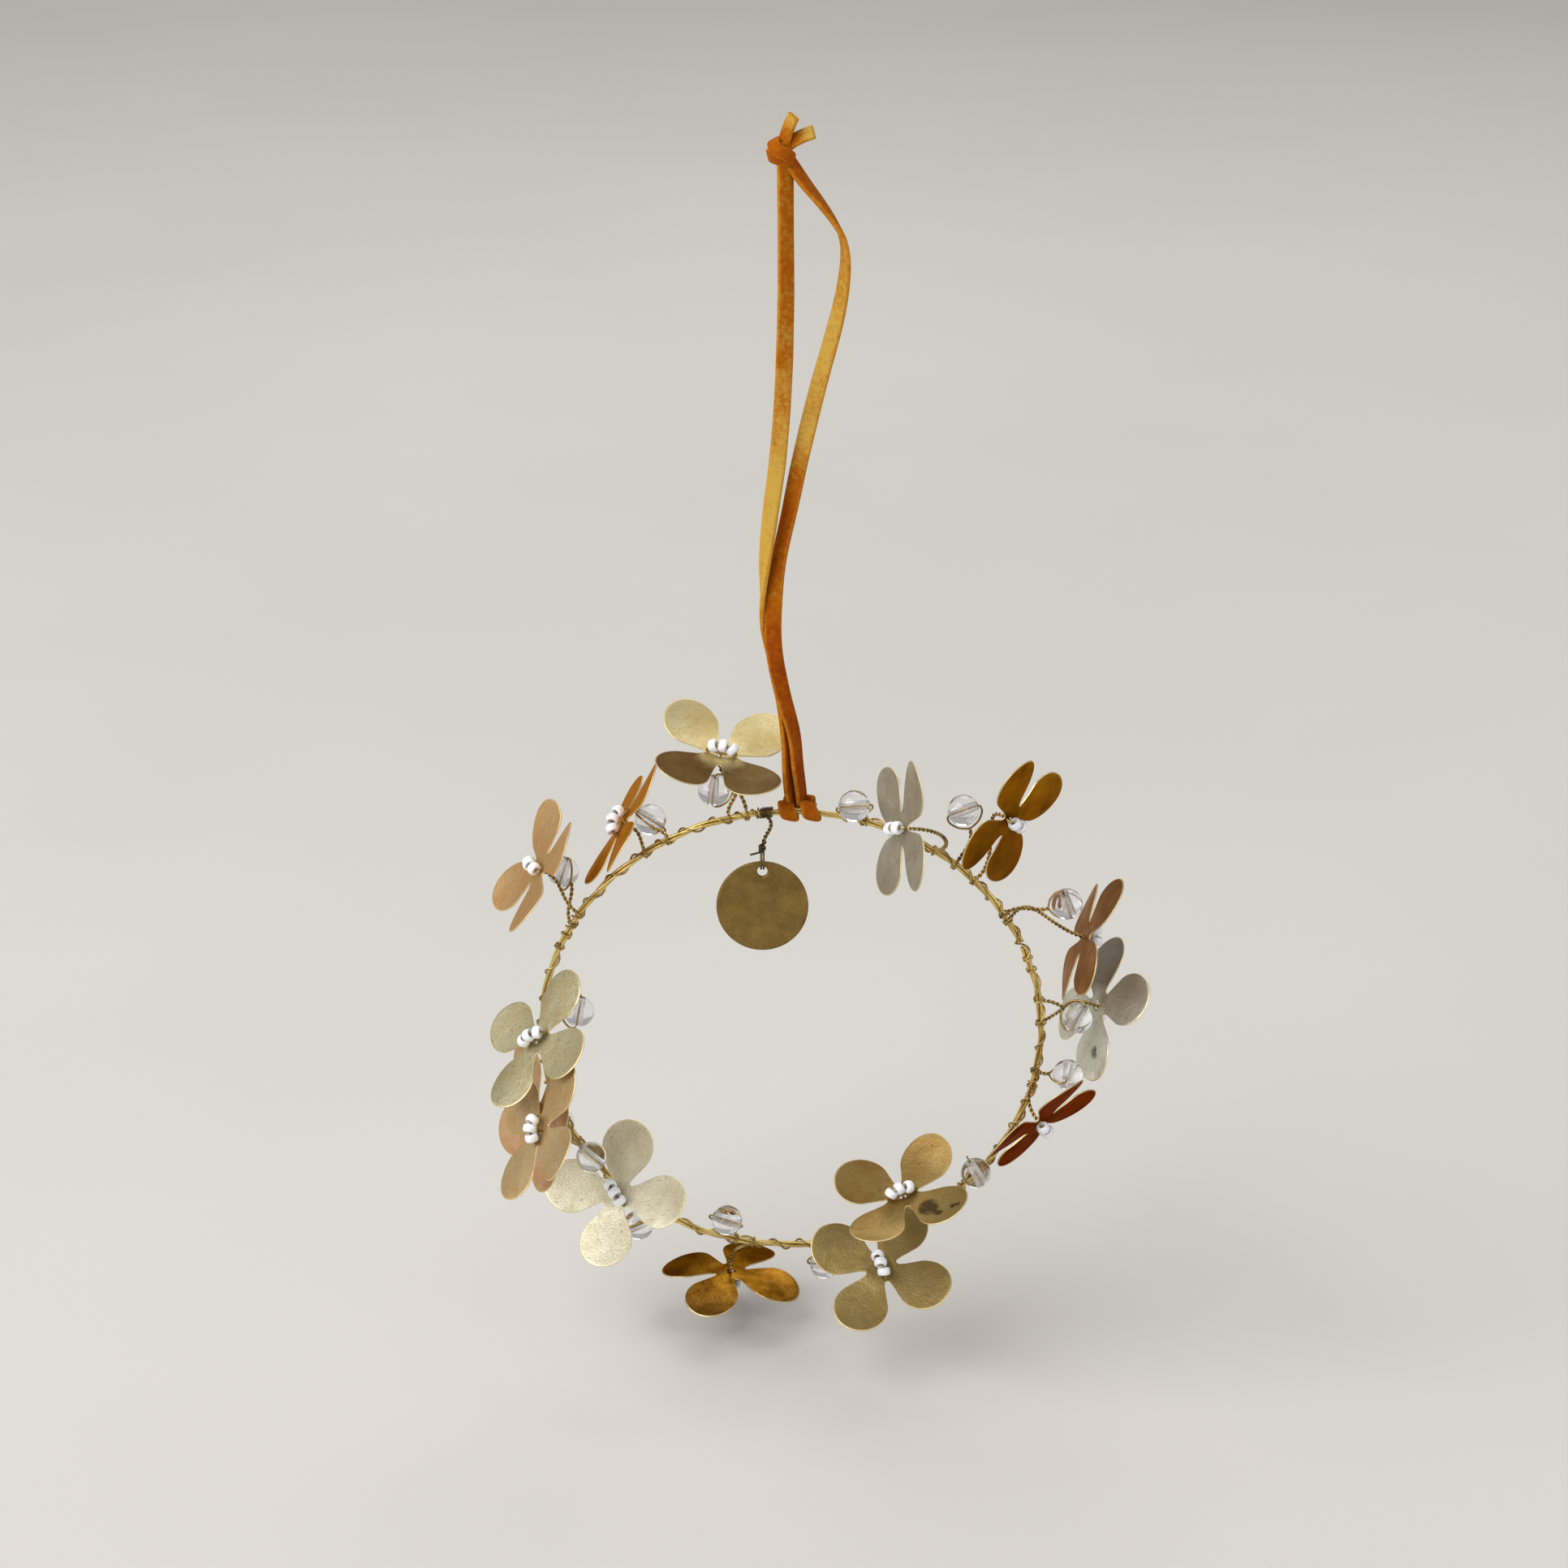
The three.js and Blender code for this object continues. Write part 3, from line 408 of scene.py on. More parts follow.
def twisted_across(path, twist):
    """The direction across a strip: level and square to the path, then turned about the path so that its left
    edge comes forward, by an angle that is read off along the path and smoothed."""
    angle = np.pad(read_along(twist, len(path)), TWIST_SPAN // 2, mode="edge")
    angle = np.radians(np.convolve(angle, np.ones(TWIST_SPAN) / TWIST_SPAN, mode="valid"))[:, None]
    travel = along(path)
    level = unit(np.cross(FRONT, travel))
    return level * np.cos(angle) + np.cross(travel, level) * np.sin(angle)


leg_paths = {
    leg_name: smooth_route([(x, y, -share * LACE_DROP) for x, y, share in points], LEG_STEP)
    for leg_name, points in (("lace_left_leg", LEFT_LEG), ("lace_right_leg", RIGHT_LEG))
}
for leg_name, twist, nap_and_light, seed in (
    ("lace_left_leg", LEFT_TWIST, LEFT_NAP_AND_LIGHT, 1), ("lace_right_leg", RIGHT_TWIST, RIGHT_NAP_AND_LIGHT, 2)
):
    path = leg_paths[leg_name]
    grids = [strip(path, twisted_across(path, twist), seed=seed)]
    marks = suede_marks(grids, read_along(nap_and_light, len(path)))
    piece(leg_name + "_suede", grids, suede, "hanger", [leg_name], "suede", marks)

# Lace knot: both ends of the strip tied together in one small overhand knot. A turn goes round the pair and
# bulges to the left, a second part crosses over it, and the two cut ends slant up out of it to the right.
KNOT_MIDDLE = np.array([-1.9, 0.0, 3.0])
KNOT_TURN_MIDDLE = np.array([-0.2, 0.0, -0.7])
KNOT_TURN_RADII = np.array([1.8, 1.45, 0.8])
KNOT_TURN_TIP = 2.6
KNOT_STRIP_WIDTH = 2.4
KNOT_CORE_WIDTH = 2.8
KNOT_CORE_THICKNESS = 2.2
END_WIDTH = 2.6
# The knot's value and the ends' values lie on the same scale of nap and painted light as the legs.
KNOT_NAP_AND_LIGHT = 0.4
END_NAP_AND_LIGHT = [(0.0, 0.4), (0.5, 0.5), (0.85, 0.95), (1.0, 0.95)]

knot_turn = np.linspace(0.0, 2 * np.pi, 72, endpoint=False)
round_knot = np.stack([np.cos(knot_turn), np.sin(knot_turn), np.cos(knot_turn + KNOT_TURN_TIP)], axis=1)
round_knot = round_knot * KNOT_TURN_RADII + KNOT_TURN_MIDDLE
round_upward = np.array([[0.0, 0.0, 1.0]]) + 0.3 * unit(round_knot - KNOT_TURN_MIDDLE)
over_knot = smooth_route(
    [(1.5, 1.0, -1.4), (1.7, -0.6, -0.4), (0.6, -1.8, 0.6), (-0.9, -1.6, 1.4), (-1.4, -0.1, 2.3), (-0.7, 1.1, 2.2),
     (0.8, 1.2, 0.9)],
    0.3,
)
over_across = np.cross(along(over_knot), unit(over_knot - [0.1, 0.0, 0.2]))
pair_core = smooth_route([(0.9, 0.0, -2.2), (0.3, 0.2, -0.4), (0.2, 0.1, 2.4)], 0.4)
long_end = smooth_route([(0.3, 0.3, 1.4), (0.8, 0.3, 3.4), (1.4, 0.1, 5.2), (2.2, -0.2, 7.1)], 0.4)
short_end = smooth_route([(0.2, 0.5, 0.8), (1.8, 0.6, 2.2), (3.8, 0.5, 3.3), (5.8, 0.3, 4.1)], 0.4)
knot_grids = [
    (carried(round_knot, strip_outline(KNOT_STRIP_WIDTH, LACE_THICKNESS), round_upward, closed=True), True),
    strip(over_knot, over_across, width=KNOT_STRIP_WIDTH, seed=3),
    strip(pair_core, np.array([[1.0, 0.0, 0.0]]), width=KNOT_CORE_WIDTH, thickness=KNOT_CORE_THICKNESS, seed=4),
    strip(long_end, np.array([[0.6, -0.7, -0.2]]), width=END_WIDTH, seed=5),
    strip(short_end, np.array([[0.3, -0.7, -0.8]]), width=END_WIDTH, seed=6),
]
knot_nap_and_light = [np.full(len(points), KNOT_NAP_AND_LIGHT) for points, closed in knot_grids[:-2]]
knot_nap_and_light += [read_along(END_NAP_AND_LIGHT, len(points)) for points, closed in knot_grids[-2:]]
knot_marks = suede_marks(knot_grids, np.concatenate(knot_nap_and_light))
knot_grids = [(points + KNOT_MIDDLE, closed) for points, closed in knot_grids]
knot = piece("lace_knot_suede", knot_grids, suede, "hanger", ["lace_knot"], "suede", knot_marks)

# Lace hitch: the fold of the strip laid round the ring as a lark's head. The two turns lie side by side over the
# front of the ring, which shows between them, and the fold runs across behind the legs and holds them.
HITCH_SIDE = 1.5
HITCH_BORE = 0.8
HITCH_WIDTH = 4.2
HITCH_THICKNESS = 1.2
HITCH_SWEEP = 150.0
HITCH_SLANT = 0.5
HITCH_SQUARE = 0.75
FOLD_WIDTH = 2.6
FOLD_SQUARE = 0.7
# The hitch's value lies on the same scale of nap and painted light as the legs.
HITCH_NAP_AND_LIGHT = 0.3

turn_angle = np.radians(np.linspace(-HITCH_SWEEP, HITCH_SWEEP, 90))
turn_radius = HITCH_BORE + LACE_THICKNESS / 2 + 0.1 * np.sin(turn_angle)
hitch_grids = []
for side in (-1, 1):
    x = HITCH_SIDE + side * HITCH_WIDTH / 2 - HITCH_SLANT * np.sin(turn_angle)
    round_ring = np.stack([x, -turn_radius * np.cos(turn_angle), turn_radius * np.sin(turn_angle)], axis=1)
    turn_across = np.array([[1.0, 0.0, -0.2]])
    hitch_grids.append(strip(round_ring, turn_across, LACE_WIDTH, HITCH_THICKNESS, HITCH_SQUARE, seed=7 + side))
fold = smooth_route(
    [(-2.6, 1.0, 1.5), (-2.0, 2.1, 1.2), (-0.6, 2.8, 0.9), (0.6, 2.8, 0.9), (2.0, 2.1, 1.2), (2.6, 1.0, 1.5)], 0.25
)
fold_across = np.array([[0.0, 0.3, 1.0]])
fold = fold + [HITCH_SIDE, 0.0, 0.0]
hitch_grids.append(strip(fold, fold_across, width=FOLD_WIDTH, square=FOLD_SQUARE, seed=9))
hitch_grids = [(points - [0.0, 0.0, LACE_DROP], closed) for points, closed in hitch_grids]
hitch_marks = suede_marks(hitch_grids, HITCH_NAP_AND_LIGHT)
piece("lace_hitch_suede", hitch_grids, suede, "hanger", ["lace_hitch"], "suede", hitch_marks)

# Ring strands: three lengths of 0.6 mm brass wire, laid loosely round each other and bent to a ring. Their
# ends meet at the upper right. The brass has gone dull, with darker and greener lengths.
RING_RADIUS = 48.5
WREATH_LEAN = 4.9
STRAND_DIAMETER = 0.6
STRAND_SIDES = 10
STRAND_ORBIT = 0.37
STRAND_TWISTS = 10
RING_JOINT = 66.0
STRAND_END_GAP = 1.2


def hung(points):
    """Points of the ring's own upright frame as they hang: the ring's top in the hitch, its foot leaning back
    by a turn about the X axis."""
    lean = math.radians(WREATH_LEAN)
    x, y, z = points[..., 0], points[..., 1], points[..., 2] - RING_RADIUS
    turned_y = y * math.cos(lean) - z * math.sin(lean)
    turned_z = y * math.sin(lean) + z * math.cos(lean) - LACE_DROP
    return np.stack([x, turned_y, turned_z], axis=-1)


def outward(clock):
    """Directions from the ring's centre at clock angles, in degrees from the top towards the right."""
    angle = np.radians(clock)
    return np.stack([np.sin(angle), np.zeros_like(angle), np.cos(angle)], axis=-1)


def beside_ring(clock, orbit, phase):
    """Points at a distance, the orbit, from the ring's centre line: phase turns from outwards to the front.
    Gives the points and the directions in which they lie."""
    clock, phase = np.asarray(clock, float), np.asarray(phase, float)
    away = outward(clock) * np.cos(phase)[..., None] + FRONT * np.sin(phase)[..., None]
    return outward(clock) * RING_RADIUS + away * np.asarray(orbit)[..., None], away


def round_outline(diameter, sides):
    """A circle as a profile."""
    turn = np.linspace(0.0, 2 * np.pi, sides, endpoint=False)
    return np.stack([np.cos(turn), np.sin(turn)], axis=1) * diameter / 2


def brass(name, bright, dull, rough, patch=4.0, dull_share=0.5, grain=0.03):
    """Worn brass: a dull film in patches over the bright metal, roughness that follows the film, and a fine
    grain from the rolling or drawing of the metal."""
    material, tree, surface = blank_material(name)
    film = cloud(tree, patch, detail=5.0, rough=0.6)
    fine = cloud(tree, 0.5, detail=3.0)
    mixed = sums(tree, "ADD", film, spread(tree, fine, -0.08, 0.08))
    edge = 0.9 - 0.8 * dull_share
    tone = ramp(tree, mixed, [(edge - 0.18, bright), (edge + 0.18, dull)])
    feed(tree, surface, {
        "Base Color": tone,
        "Roughness": spread(tree, mixed, rough, rough + 0.2),
        "Metallic": 1.0,
        "Normal": relief(tree, cloud(tree, 0.25, detail=3.0), grain),
    })
    return material


ring_brass = brass("ring_strand_brass", shade(238, 216, 142), shade(188, 158, 88), 0.3, patch=6.0)
open_degrees = math.degrees(STRAND_END_GAP / RING_RADIUS)
share = np.linspace(0.0, 1.0, 720)
for order in range(3):
    clock = RING_JOINT + open_degrees / 2 + share * (360.0 - open_degrees)
    ease = 0.35 * np.sin(2 * np.pi * (share * 3 + order / 3)) + 0.2 * np.sin(2 * np.pi * (share * 7 + order / 5))
    phase = 2 * np.pi * (share * STRAND_TWISTS + order / 3) + ease * 0.5
    line, away = beside_ring(clock, STRAND_ORBIT, phase)
    strand = carried(line, round_outline(STRAND_DIAMETER, STRAND_SIDES), away)
    name = f"ring_strand_{order + 1}"
    piece(name + "_brass", [(hung(strand), False)], ring_brass, "wreath", [name], "ring_brass")

# Binding wire: thin 0.4 mm brass wire wound openly round the ring, with a few tight turns at each end of a
# length. It branches into stems, two wires twisted together, and each stem ends in a loop: through three seed
# beads in front of a flower, or through the bore of a glass bead.
WIRE_DIAMETER = 0.4
WIRE_SIDES = 8
TWISTED_SIDES = 7
TWISTED_STEP = 0.16
WRAP_ORBIT = 0.9
WRAP_PITCH = 6.5
WRAP_POINTS = 26
WRAP_SLACK = 0.05
END_COIL_TURNS = 1.2
END_COIL_PITCH = 0.5
STEM_TWIST_PITCH = 1.9
STEM_STRAIGHT = 1.2
PETAL_REACH = 14.8
GLASS_DIAMETER = 6.0
SEED_LENGTH = 1.7
STEM_AIM = 4.9
STEM_HANDLE = 0.45
BEAD_STEM_HANDLE = 0.4
LOOP_FLOOR = 0.45
LOOP_STEP = 0.2
BEAD_LOOP_GAP = 0.1
SEED_HEIGHT = 2.35
SEED_ARCH = 3.4
SEED_ARCH_END = 0.95

# Sprigs in clock order. Flower: where its stem leaves the ring, its clock angle, how far outside the ring and in
# front of it, its aim to the right and upwards, the turn of its petals, the press of its cup and the diagonal of
# its seed row. Bead: where its stem leaves the ring, clock angle, outside, in front and the run of its bore. Then
# the flower's finish.
SPRIGS = [
    ((34, 21.2, 8.4, 16, -73, 9, 75, 0.9, -1), (17, 13, 4, 3, (1, 0, 0.1)), "silvery"),
    ((46, 40.9, 14.5, 2, 50, -14, 10, 0.7, -1), (40, 35, 8.5, -4, (1, 0, 0.4)), "brown"),
    ((59, 73.5, 11, -8, 90, -22, 10, 1.5, 1), (57, 61.5, 11.5, 0, (0.3, 0.2, -1)), "copper"),
    ((87, 88.5, 11.6, -8, 109, -29, 52, 1.6, 1), (81, 84, 7, 4, (0.5, 0, 1)), "grey_olive"),
    ((104, 108.2, 2.4, 7, 44, -33, -1, 0.7, -1), (100, 98.5, 6, 2, (0.2, 1, 0)), "red_brown"),
    ((136, 143.7, -11.7, 12, -48, 71, 14, 2.6, 1), (131, 128, -2.5, 5.5, (0.5, 0, -1)), "stained"),
    ((167, 159, 1, 12, -7, 57, 70, 1.5, 1), (171, 173, 7, -3, (1, 0, 0)), "olive"),
    ((189, 191.5, 13, -8, -11, -88, 12, 2.3, 1), (193, 198, -7.5, 6, (1, 0, -0.4)), "dark_shine"),
    ((215, 227.6, -2.4, 9, -22, 42, 2, 1.7, -1), (212, 214, 6, -2, (1, 0.3, 0.3)), "cream"),
    ((246, 261.9, -0.3, 25, -68, 30, 92, 0.8, 1), (240, 240, -3.5, 9, (1, 0, -1)), "tan"),
    ((256, 257.5, 1.9, 13, -61, 12, 41, 0.8, 1), (248, 243, 3, -5.5, (0.4, 0, 1)), "rosy"),
    ((267, 276.5, 0.4, 12, -62, 42, 102, 0.6, -1), (273, 274.5, -7, -3, (0.2, 0.3, 1)), "olive_cream"),
    ((303, 306.1, 11.1, -2, -80, 33, 55, 2.1, -1), (300, 305.5, 5.5, -8, (0.3, 0, 1)), "sandy"),
    ((325, 324.4, 6.2, -3, -93, 29, -1, 0.4, -1), (331, 328.5, 3, -5.5, (1, 0, -0.7)), "amber"),
    ((350, 347.4, 12.4, -2, 30, 73, 10, 2.4, -1), (346, 344.5, 6.5, 0, (0.1, 0, 1)), "pale_gold"),
]
BINDING_RUNS = [(12, 70), (72.5, 160), (162.5, 233), (235.5, 294), (296.5, 353)]


def near_ring(clock, out, front):
    """A place by clock angle, distance outside the ring's centre line and distance in front of it."""
    return outward(np.float64(clock)) * (RING_RADIUS + out) + FRONT * front


def flower_axes(turn, rise, spin):
    """A flower's own axes as rows: along a petal, beside it and the way it faces. The facing turns to the right
    from the front, then rises, and the petal turns from level by the spin."""
    t, r, s = np.radians([turn, rise, spin])
    facing = np.array([np.sin(t) * np.cos(r), -np.cos(t) * np.cos(r), np.sin(r)])
    level = np.array([np.cos(t), np.sin(t), 0.0])
    petal = level * np.cos(s) + np.cross(facing, level) * np.sin(s)
    return np.stack([petal, np.cross(facing, petal), facing])


def flower_frame(flower):
    """A flower's centre, its own axes, the press of its cup and the direction of its seed row, a diagonal between
    two petals."""
    clock, out, front, turn, rise, spin, cup, diagonal = flower[1:]
    axes = flower_axes(turn, rise, spin)
    return near_ring(clock, out, front), axes, cup, (axes[0] + diagonal * axes[1]) / math.sqrt(2)


def bead_axes(bead):
    """A glass bead's centre, the run of its bore and the direction square to the bore towards its stem."""
    root, clock, out, front, bore = bead
    centre = near_ring(clock, out, front)
    bore = unit(np.array(bore, float))
    back = outward(np.float64(root)) * RING_RADIUS - centre
    return centre, bore, unit(back - back.dot(bore) * bore)


def bend(start, leave, end, arrive, share):
    """A cubic from start to end: it leaves and arrives along the given directions, with handles that are a share
    of the distance."""
    reach = np.linalg.norm(end - start) * share
    t = np.linspace(0.0, 1.0, 160)[:, None]
    first, second = start + leave * reach, end - arrive * reach
    return (1 - t) ** 3 * start + 3 * t * (1 - t) ** 2 * first + 3 * t**2 * (1 - t) * second + t**3 * end


def flat_side(path):
    """The direction that a path runs along least: the last axis of its directions of travel."""
    return np.linalg.svd(along(path), full_matrices=False)[2][2][None, :]


def wire(line, beside, closed=False, sides=WIRE_SIDES):
    """A round wire along a line."""
    return carried(line, round_outline(WIRE_DIAMETER, sides), beside, closed), closed


def twisted_pair(path):
    """Two wires wound round each other along a path: each lies half a wire from it, and they turn once in a
    twist's length."""
    line = even(path, TWISTED_STEP)
    travel = along(line)
    side = flat_side(line)
    side = unit(side - np.sum(side * travel, axis=1, keepdims=True) * travel)
    up = np.cross(travel, side)
    turn = 2 * np.pi * np.arange(len(line)) * TWISTED_STEP / STEM_TWIST_PITCH
    grids = []
    for half_turn in (0.0, np.pi):
        off = np.cos(turn + half_turn)[:, None] * side + np.sin(turn + half_turn)[:, None] * up
        grids.append(wire(line + off * WIRE_DIAMETER / 2, off, sides=TWISTED_SIDES))
    return grids


def open_loop(points):
    """A wire along a smooth line through points that lie in one plane."""
    line = smooth_route(points, LOOP_STEP)
    return wire(line, flat_side(line))


def root_phase(clock, target):
    """The phase round the ring at which a target lies, seen from the ring's centre line at that clock angle."""
    offset = target - outward(np.float64(clock)) * RING_RADIUS
    return math.atan2(offset.dot(FRONT), offset.dot(outward(np.float64(clock))))


def flower_branch(flower):
    """A flower's stem and seed loop: from the ring to a little behind the hub, straight through the hole, along
    the sheet both ways, round the row's ends and back through the beads in a low arch, part of a circle."""
    root = flower[0]
    centre, axes, cup, row = flower_frame(flower)
    facing = axes[2]
    phase = root_phase(root, centre - facing * STEM_AIM)
    start, away = beside_ring(root, WRAP_ORBIT, phase)
    behind = centre - facing * STEM_STRAIGHT
    stem = np.vstack([bend(start, away, behind, facing, STEM_HANDLE), centre + facing * (LOOP_FLOOR + 0.1)])
    arch = np.linspace(SEED_ARCH_END, -SEED_ARCH_END, 9)
    over = list(zip(SEED_ARCH * np.sin(arch), SEED_HEIGHT - SEED_ARCH * (1 - np.cos(arch))))
    foot = [(0.1, LOOP_FLOOR), (1.2, LOOP_FLOOR), (2.4, LOOP_FLOOR), (2.95, LOOP_FLOOR + 0.2)]
    shape = foot + over + [(-x, z) for x, z in foot[::-1]]
    loop = open_loop([centre + row * x + facing * z for x, z in shape])
    return root, phase, [*twisted_pair(stem), loop]


def bead_branch(bead):
    """A glass bead's stem and loop: from the ring to a neck beside the bead, round both sides of the bead and
    through its bore."""
    centre, bore, stem_side = bead_axes(bead)
    root = bead[0]
    phase = root_phase(root, centre)
    start, away = beside_ring(root, WRAP_ORBIT, phase)
    edge = GLASS_DIAMETER / 2 + BEAD_LOOP_GAP + WIRE_DIAMETER / 2
    neck = edge + WIRE_DIAMETER
    stem = bend(start, away, centre + stem_side * (neck - 0.2), -stem_side, BEAD_STEM_HANDLE)
    half_loop = [(0.1, neck), (edge * 0.62, edge * 0.86), (edge, edge * 0.42), (edge * 1.01, edge * 0.1),
                 (edge * 0.86, 0.0), (edge * 0.5, 0.0)]
    shape = half_loop + [(-x, y) for x, y in half_loop[::-1]]
    loop = open_loop([centre + bore * x + stem_side * y for x, y in shape])
    return root, phase, [*twisted_pair(stem), loop]


def wound_run(first, last, roots):
    """A length of wire round the ring: it winds evenly from root to root, by the whole turns that come nearest
    to the pitch, and closes up to a tight turn at its two ends and at each root. Two slow waves slacken and
    tighten it."""
    half_coil = math.degrees(END_COIL_TURNS * END_COIL_PITCH / 2 / RING_RADIUS)
    half_twist = np.pi * END_COIL_TURNS
    clocks, phases = [], []
    for clock, phase in [(first + half_coil, roots[0][1]), *roots, (last - half_coil, roots[-1][1])]:
        if clocks:
            open_run = math.radians(max(clock - half_coil - clocks[-1], 0.1)) * RING_RADIUS
            plain = phases[-1] + half_twist + 2 * np.pi * open_run / WRAP_PITCH
            phase += 2 * np.pi * math.ceil((plain - phase) / (2 * np.pi) - 0.3)
        clocks += [clock - half_coil, clock + half_coil]
        phases += [phase - half_twist, phase + half_twist]
    at = np.linspace(phases[0], phases[-1], int((phases[-1] - phases[0]) / (2 * np.pi) * WRAP_POINTS))
    slack = WRAP_SLACK * np.sin(0.41 * at + first) + WRAP_SLACK * np.sin(1.13 * at)
    line, away = beside_ring(np.interp(at, phases, clocks), WRAP_ORBIT + slack, at)
    return wire(line, away)


wire_brass = brass("binding_wire_brass", shade(206, 176, 110), shade(122, 98, 56), 0.28, patch=5.0)
branches = [branch for flower, bead, finish in SPRIGS for branch in (flower_branch(flower), bead_branch(bead))]
branches.sort(key=lambda branch: branch[0])
for order, (first, last) in enumerate(BINDING_RUNS):
    held = [branch for branch in branches if first < branch[0] < last]
    grids = [wound_run(first, last, [(root, phase) for root, phase, stems in held])]
    grids += [grid for root, phase, stems in held for grid in stems]
    name = f"binding_wire_{order + 1}"
    piece(
        name + "_brass", [(hung(points), closed) for points, closed in grids], wire_brass, "wreath", [name],
        "wire_brass",
    )

# Flowers: four-petal blanks stamped from 0.3 mm brass sheet, pressed to a shallow cup with a small dimple round
# the wire hole. Each has aged differently, from pale gold to dark brown, and the cut edges stay bright.
PETAL_WIDTH = 10.7
PETAL_SHOULDER = 112.0
PETAL_CROWN = 0.35
NECK_SHARE = 0.45
NOTCH_RADIUS = 3.3
NOTCH_WIDTH = 0.8
SHEET_THICKNESS = 0.3
FLOWER_HOLE = 1.4
OUTLINE_STEP = 0.5
DIMPLE_DEPTH = 0.22
DIMPLE_RADIUS = 1.7
RIDGE_HEIGHT = 0.12
RIDGE_RADIUS = 3.1
RIDGE_WIDTH = 0.7
DARKENING_START = 2.5

# The sheet's section from the hole out and back: share of the way to the edge, height in thicknesses
SHEET_SHARES = (0.0, 0.05, 0.12, 0.2, 0.3, 0.4, 0.5, 0.6, 0.7, 0.8, 0.88, 0.94, 0.975)
SHEET_SECTION = np.array(
    [(share, 0.5) for share in SHEET_SHARES]
    + [(0.992, 0.4), (1.0, 0.15), (1.0, -0.15), (0.992, -0.4)]
    + [(share, -0.5) for share in SHEET_SHARES[::-1]]
)
CUT_EDGE = (SHEET_SECTION[:, 0] > 0.98).astype(float)


def stamped(outline, hole, section=SHEET_SECTION, thickness=SHEET_THICKNESS):
    """A sheet between a round hole at the middle and an outline: each point lies on the line from the hole's
    edge to the outline's edge, by the section's share, at the section's height through the thickness."""
    turn = np.linspace(0.0, 2 * np.pi, len(outline), endpoint=False)
    inner = np.stack([np.cos(turn), np.sin(turn)], axis=1) * hole / 2
    share = section[:, :1, None]
    flat = inner[None] * (1 - share) + outline[None] * share
    height = np.broadcast_to(section[:, 1:] * thickness, flat.shape[:2])
    return np.concatenate([flat, height[..., None]], axis=2)


def petal_outline():
    """Edge of the four-petal blank, as a smooth closed line: for each petal a notch corner, a narrow neck, a
    round tip of the petal's width, and the same back."""
    tip = PETAL_WIDTH / 2
    middle = PETAL_REACH - tip
    shoulder = math.radians(PETAL_SHOULDER)
    notch_x = (NOTCH_RADIUS + NOTCH_WIDTH / 2) * math.sqrt(0.5)
    notch_y = (NOTCH_RADIUS - NOTCH_WIDTH / 2) * math.sqrt(0.5)
    side_x, side_y = middle + tip * math.cos(shoulder), tip * math.sin(shoulder)
    neck_x, neck_y = (notch_x + side_x) / 2, notch_y + (side_y - notch_y) * NECK_SHARE
    arc = np.linspace(-shoulder, shoulder, 9)
    tip_points = np.stack([middle + tip * np.cos(arc), tip * np.sin(arc)], axis=1)
    half = np.array([(notch_x, -notch_y), (neck_x, -neck_y)])
    petal = np.vstack([half, tip_points, half[::-1] * [1, -1]])
    quarter = [np.array([[np.cos(a), np.sin(a)], [-np.sin(a), np.cos(a)]]) for a in np.arange(4) * np.pi / 2]
    corners = np.vstack([petal @ turn for turn in quarter])
    line = smooth_route(np.column_stack([corners, np.zeros(len(corners))]), OUTLINE_STEP, closed=True)[:, :2]
    return np.roll(line, -np.argmax(line[:, 0]), axis=0)


def pressed_flower(cup, number):
    """A flower in its own axes: the stamped sheet with its height raised by the cup, a square of the distance
    past the hub, sunk by a small bell at the hub, and crowned and tilted a little from petal to petal."""
    sheet = stamped(petal_outline(), FLOWER_HOLE)
    x, y = sheet[..., 0], sheet[..., 1]
    distance = np.hypot(x, y)
    angle = np.arctan2(y, x)
    share = np.clip((distance - NOTCH_RADIUS) / (PETAL_REACH - NOTCH_RADIUS), 0.0, None)
    off_petal = distance * np.sin(((angle + np.pi / 4) % (np.pi / 2)) - np.pi / 4)
    crown = -PETAL_CROWN * np.clip(share * 2, 0, 1) * (off_petal / (PETAL_WIDTH / 2)) ** 2
    uneven = 0.25 * share**2 * np.sin(2 * angle + 1.7 * number) + 0.12 * share * np.sin(5 * angle + number)
    dimple = -DIMPLE_DEPTH * np.exp(-((distance / DIMPLE_RADIUS) ** 2))
    ridge = RIDGE_HEIGHT * np.exp(-(((distance - RIDGE_RADIUS) / RIDGE_WIDTH) ** 2))
    sheet[..., 2] += cup * share**2 + crown + uneven + dimple + ridge
    return sheet


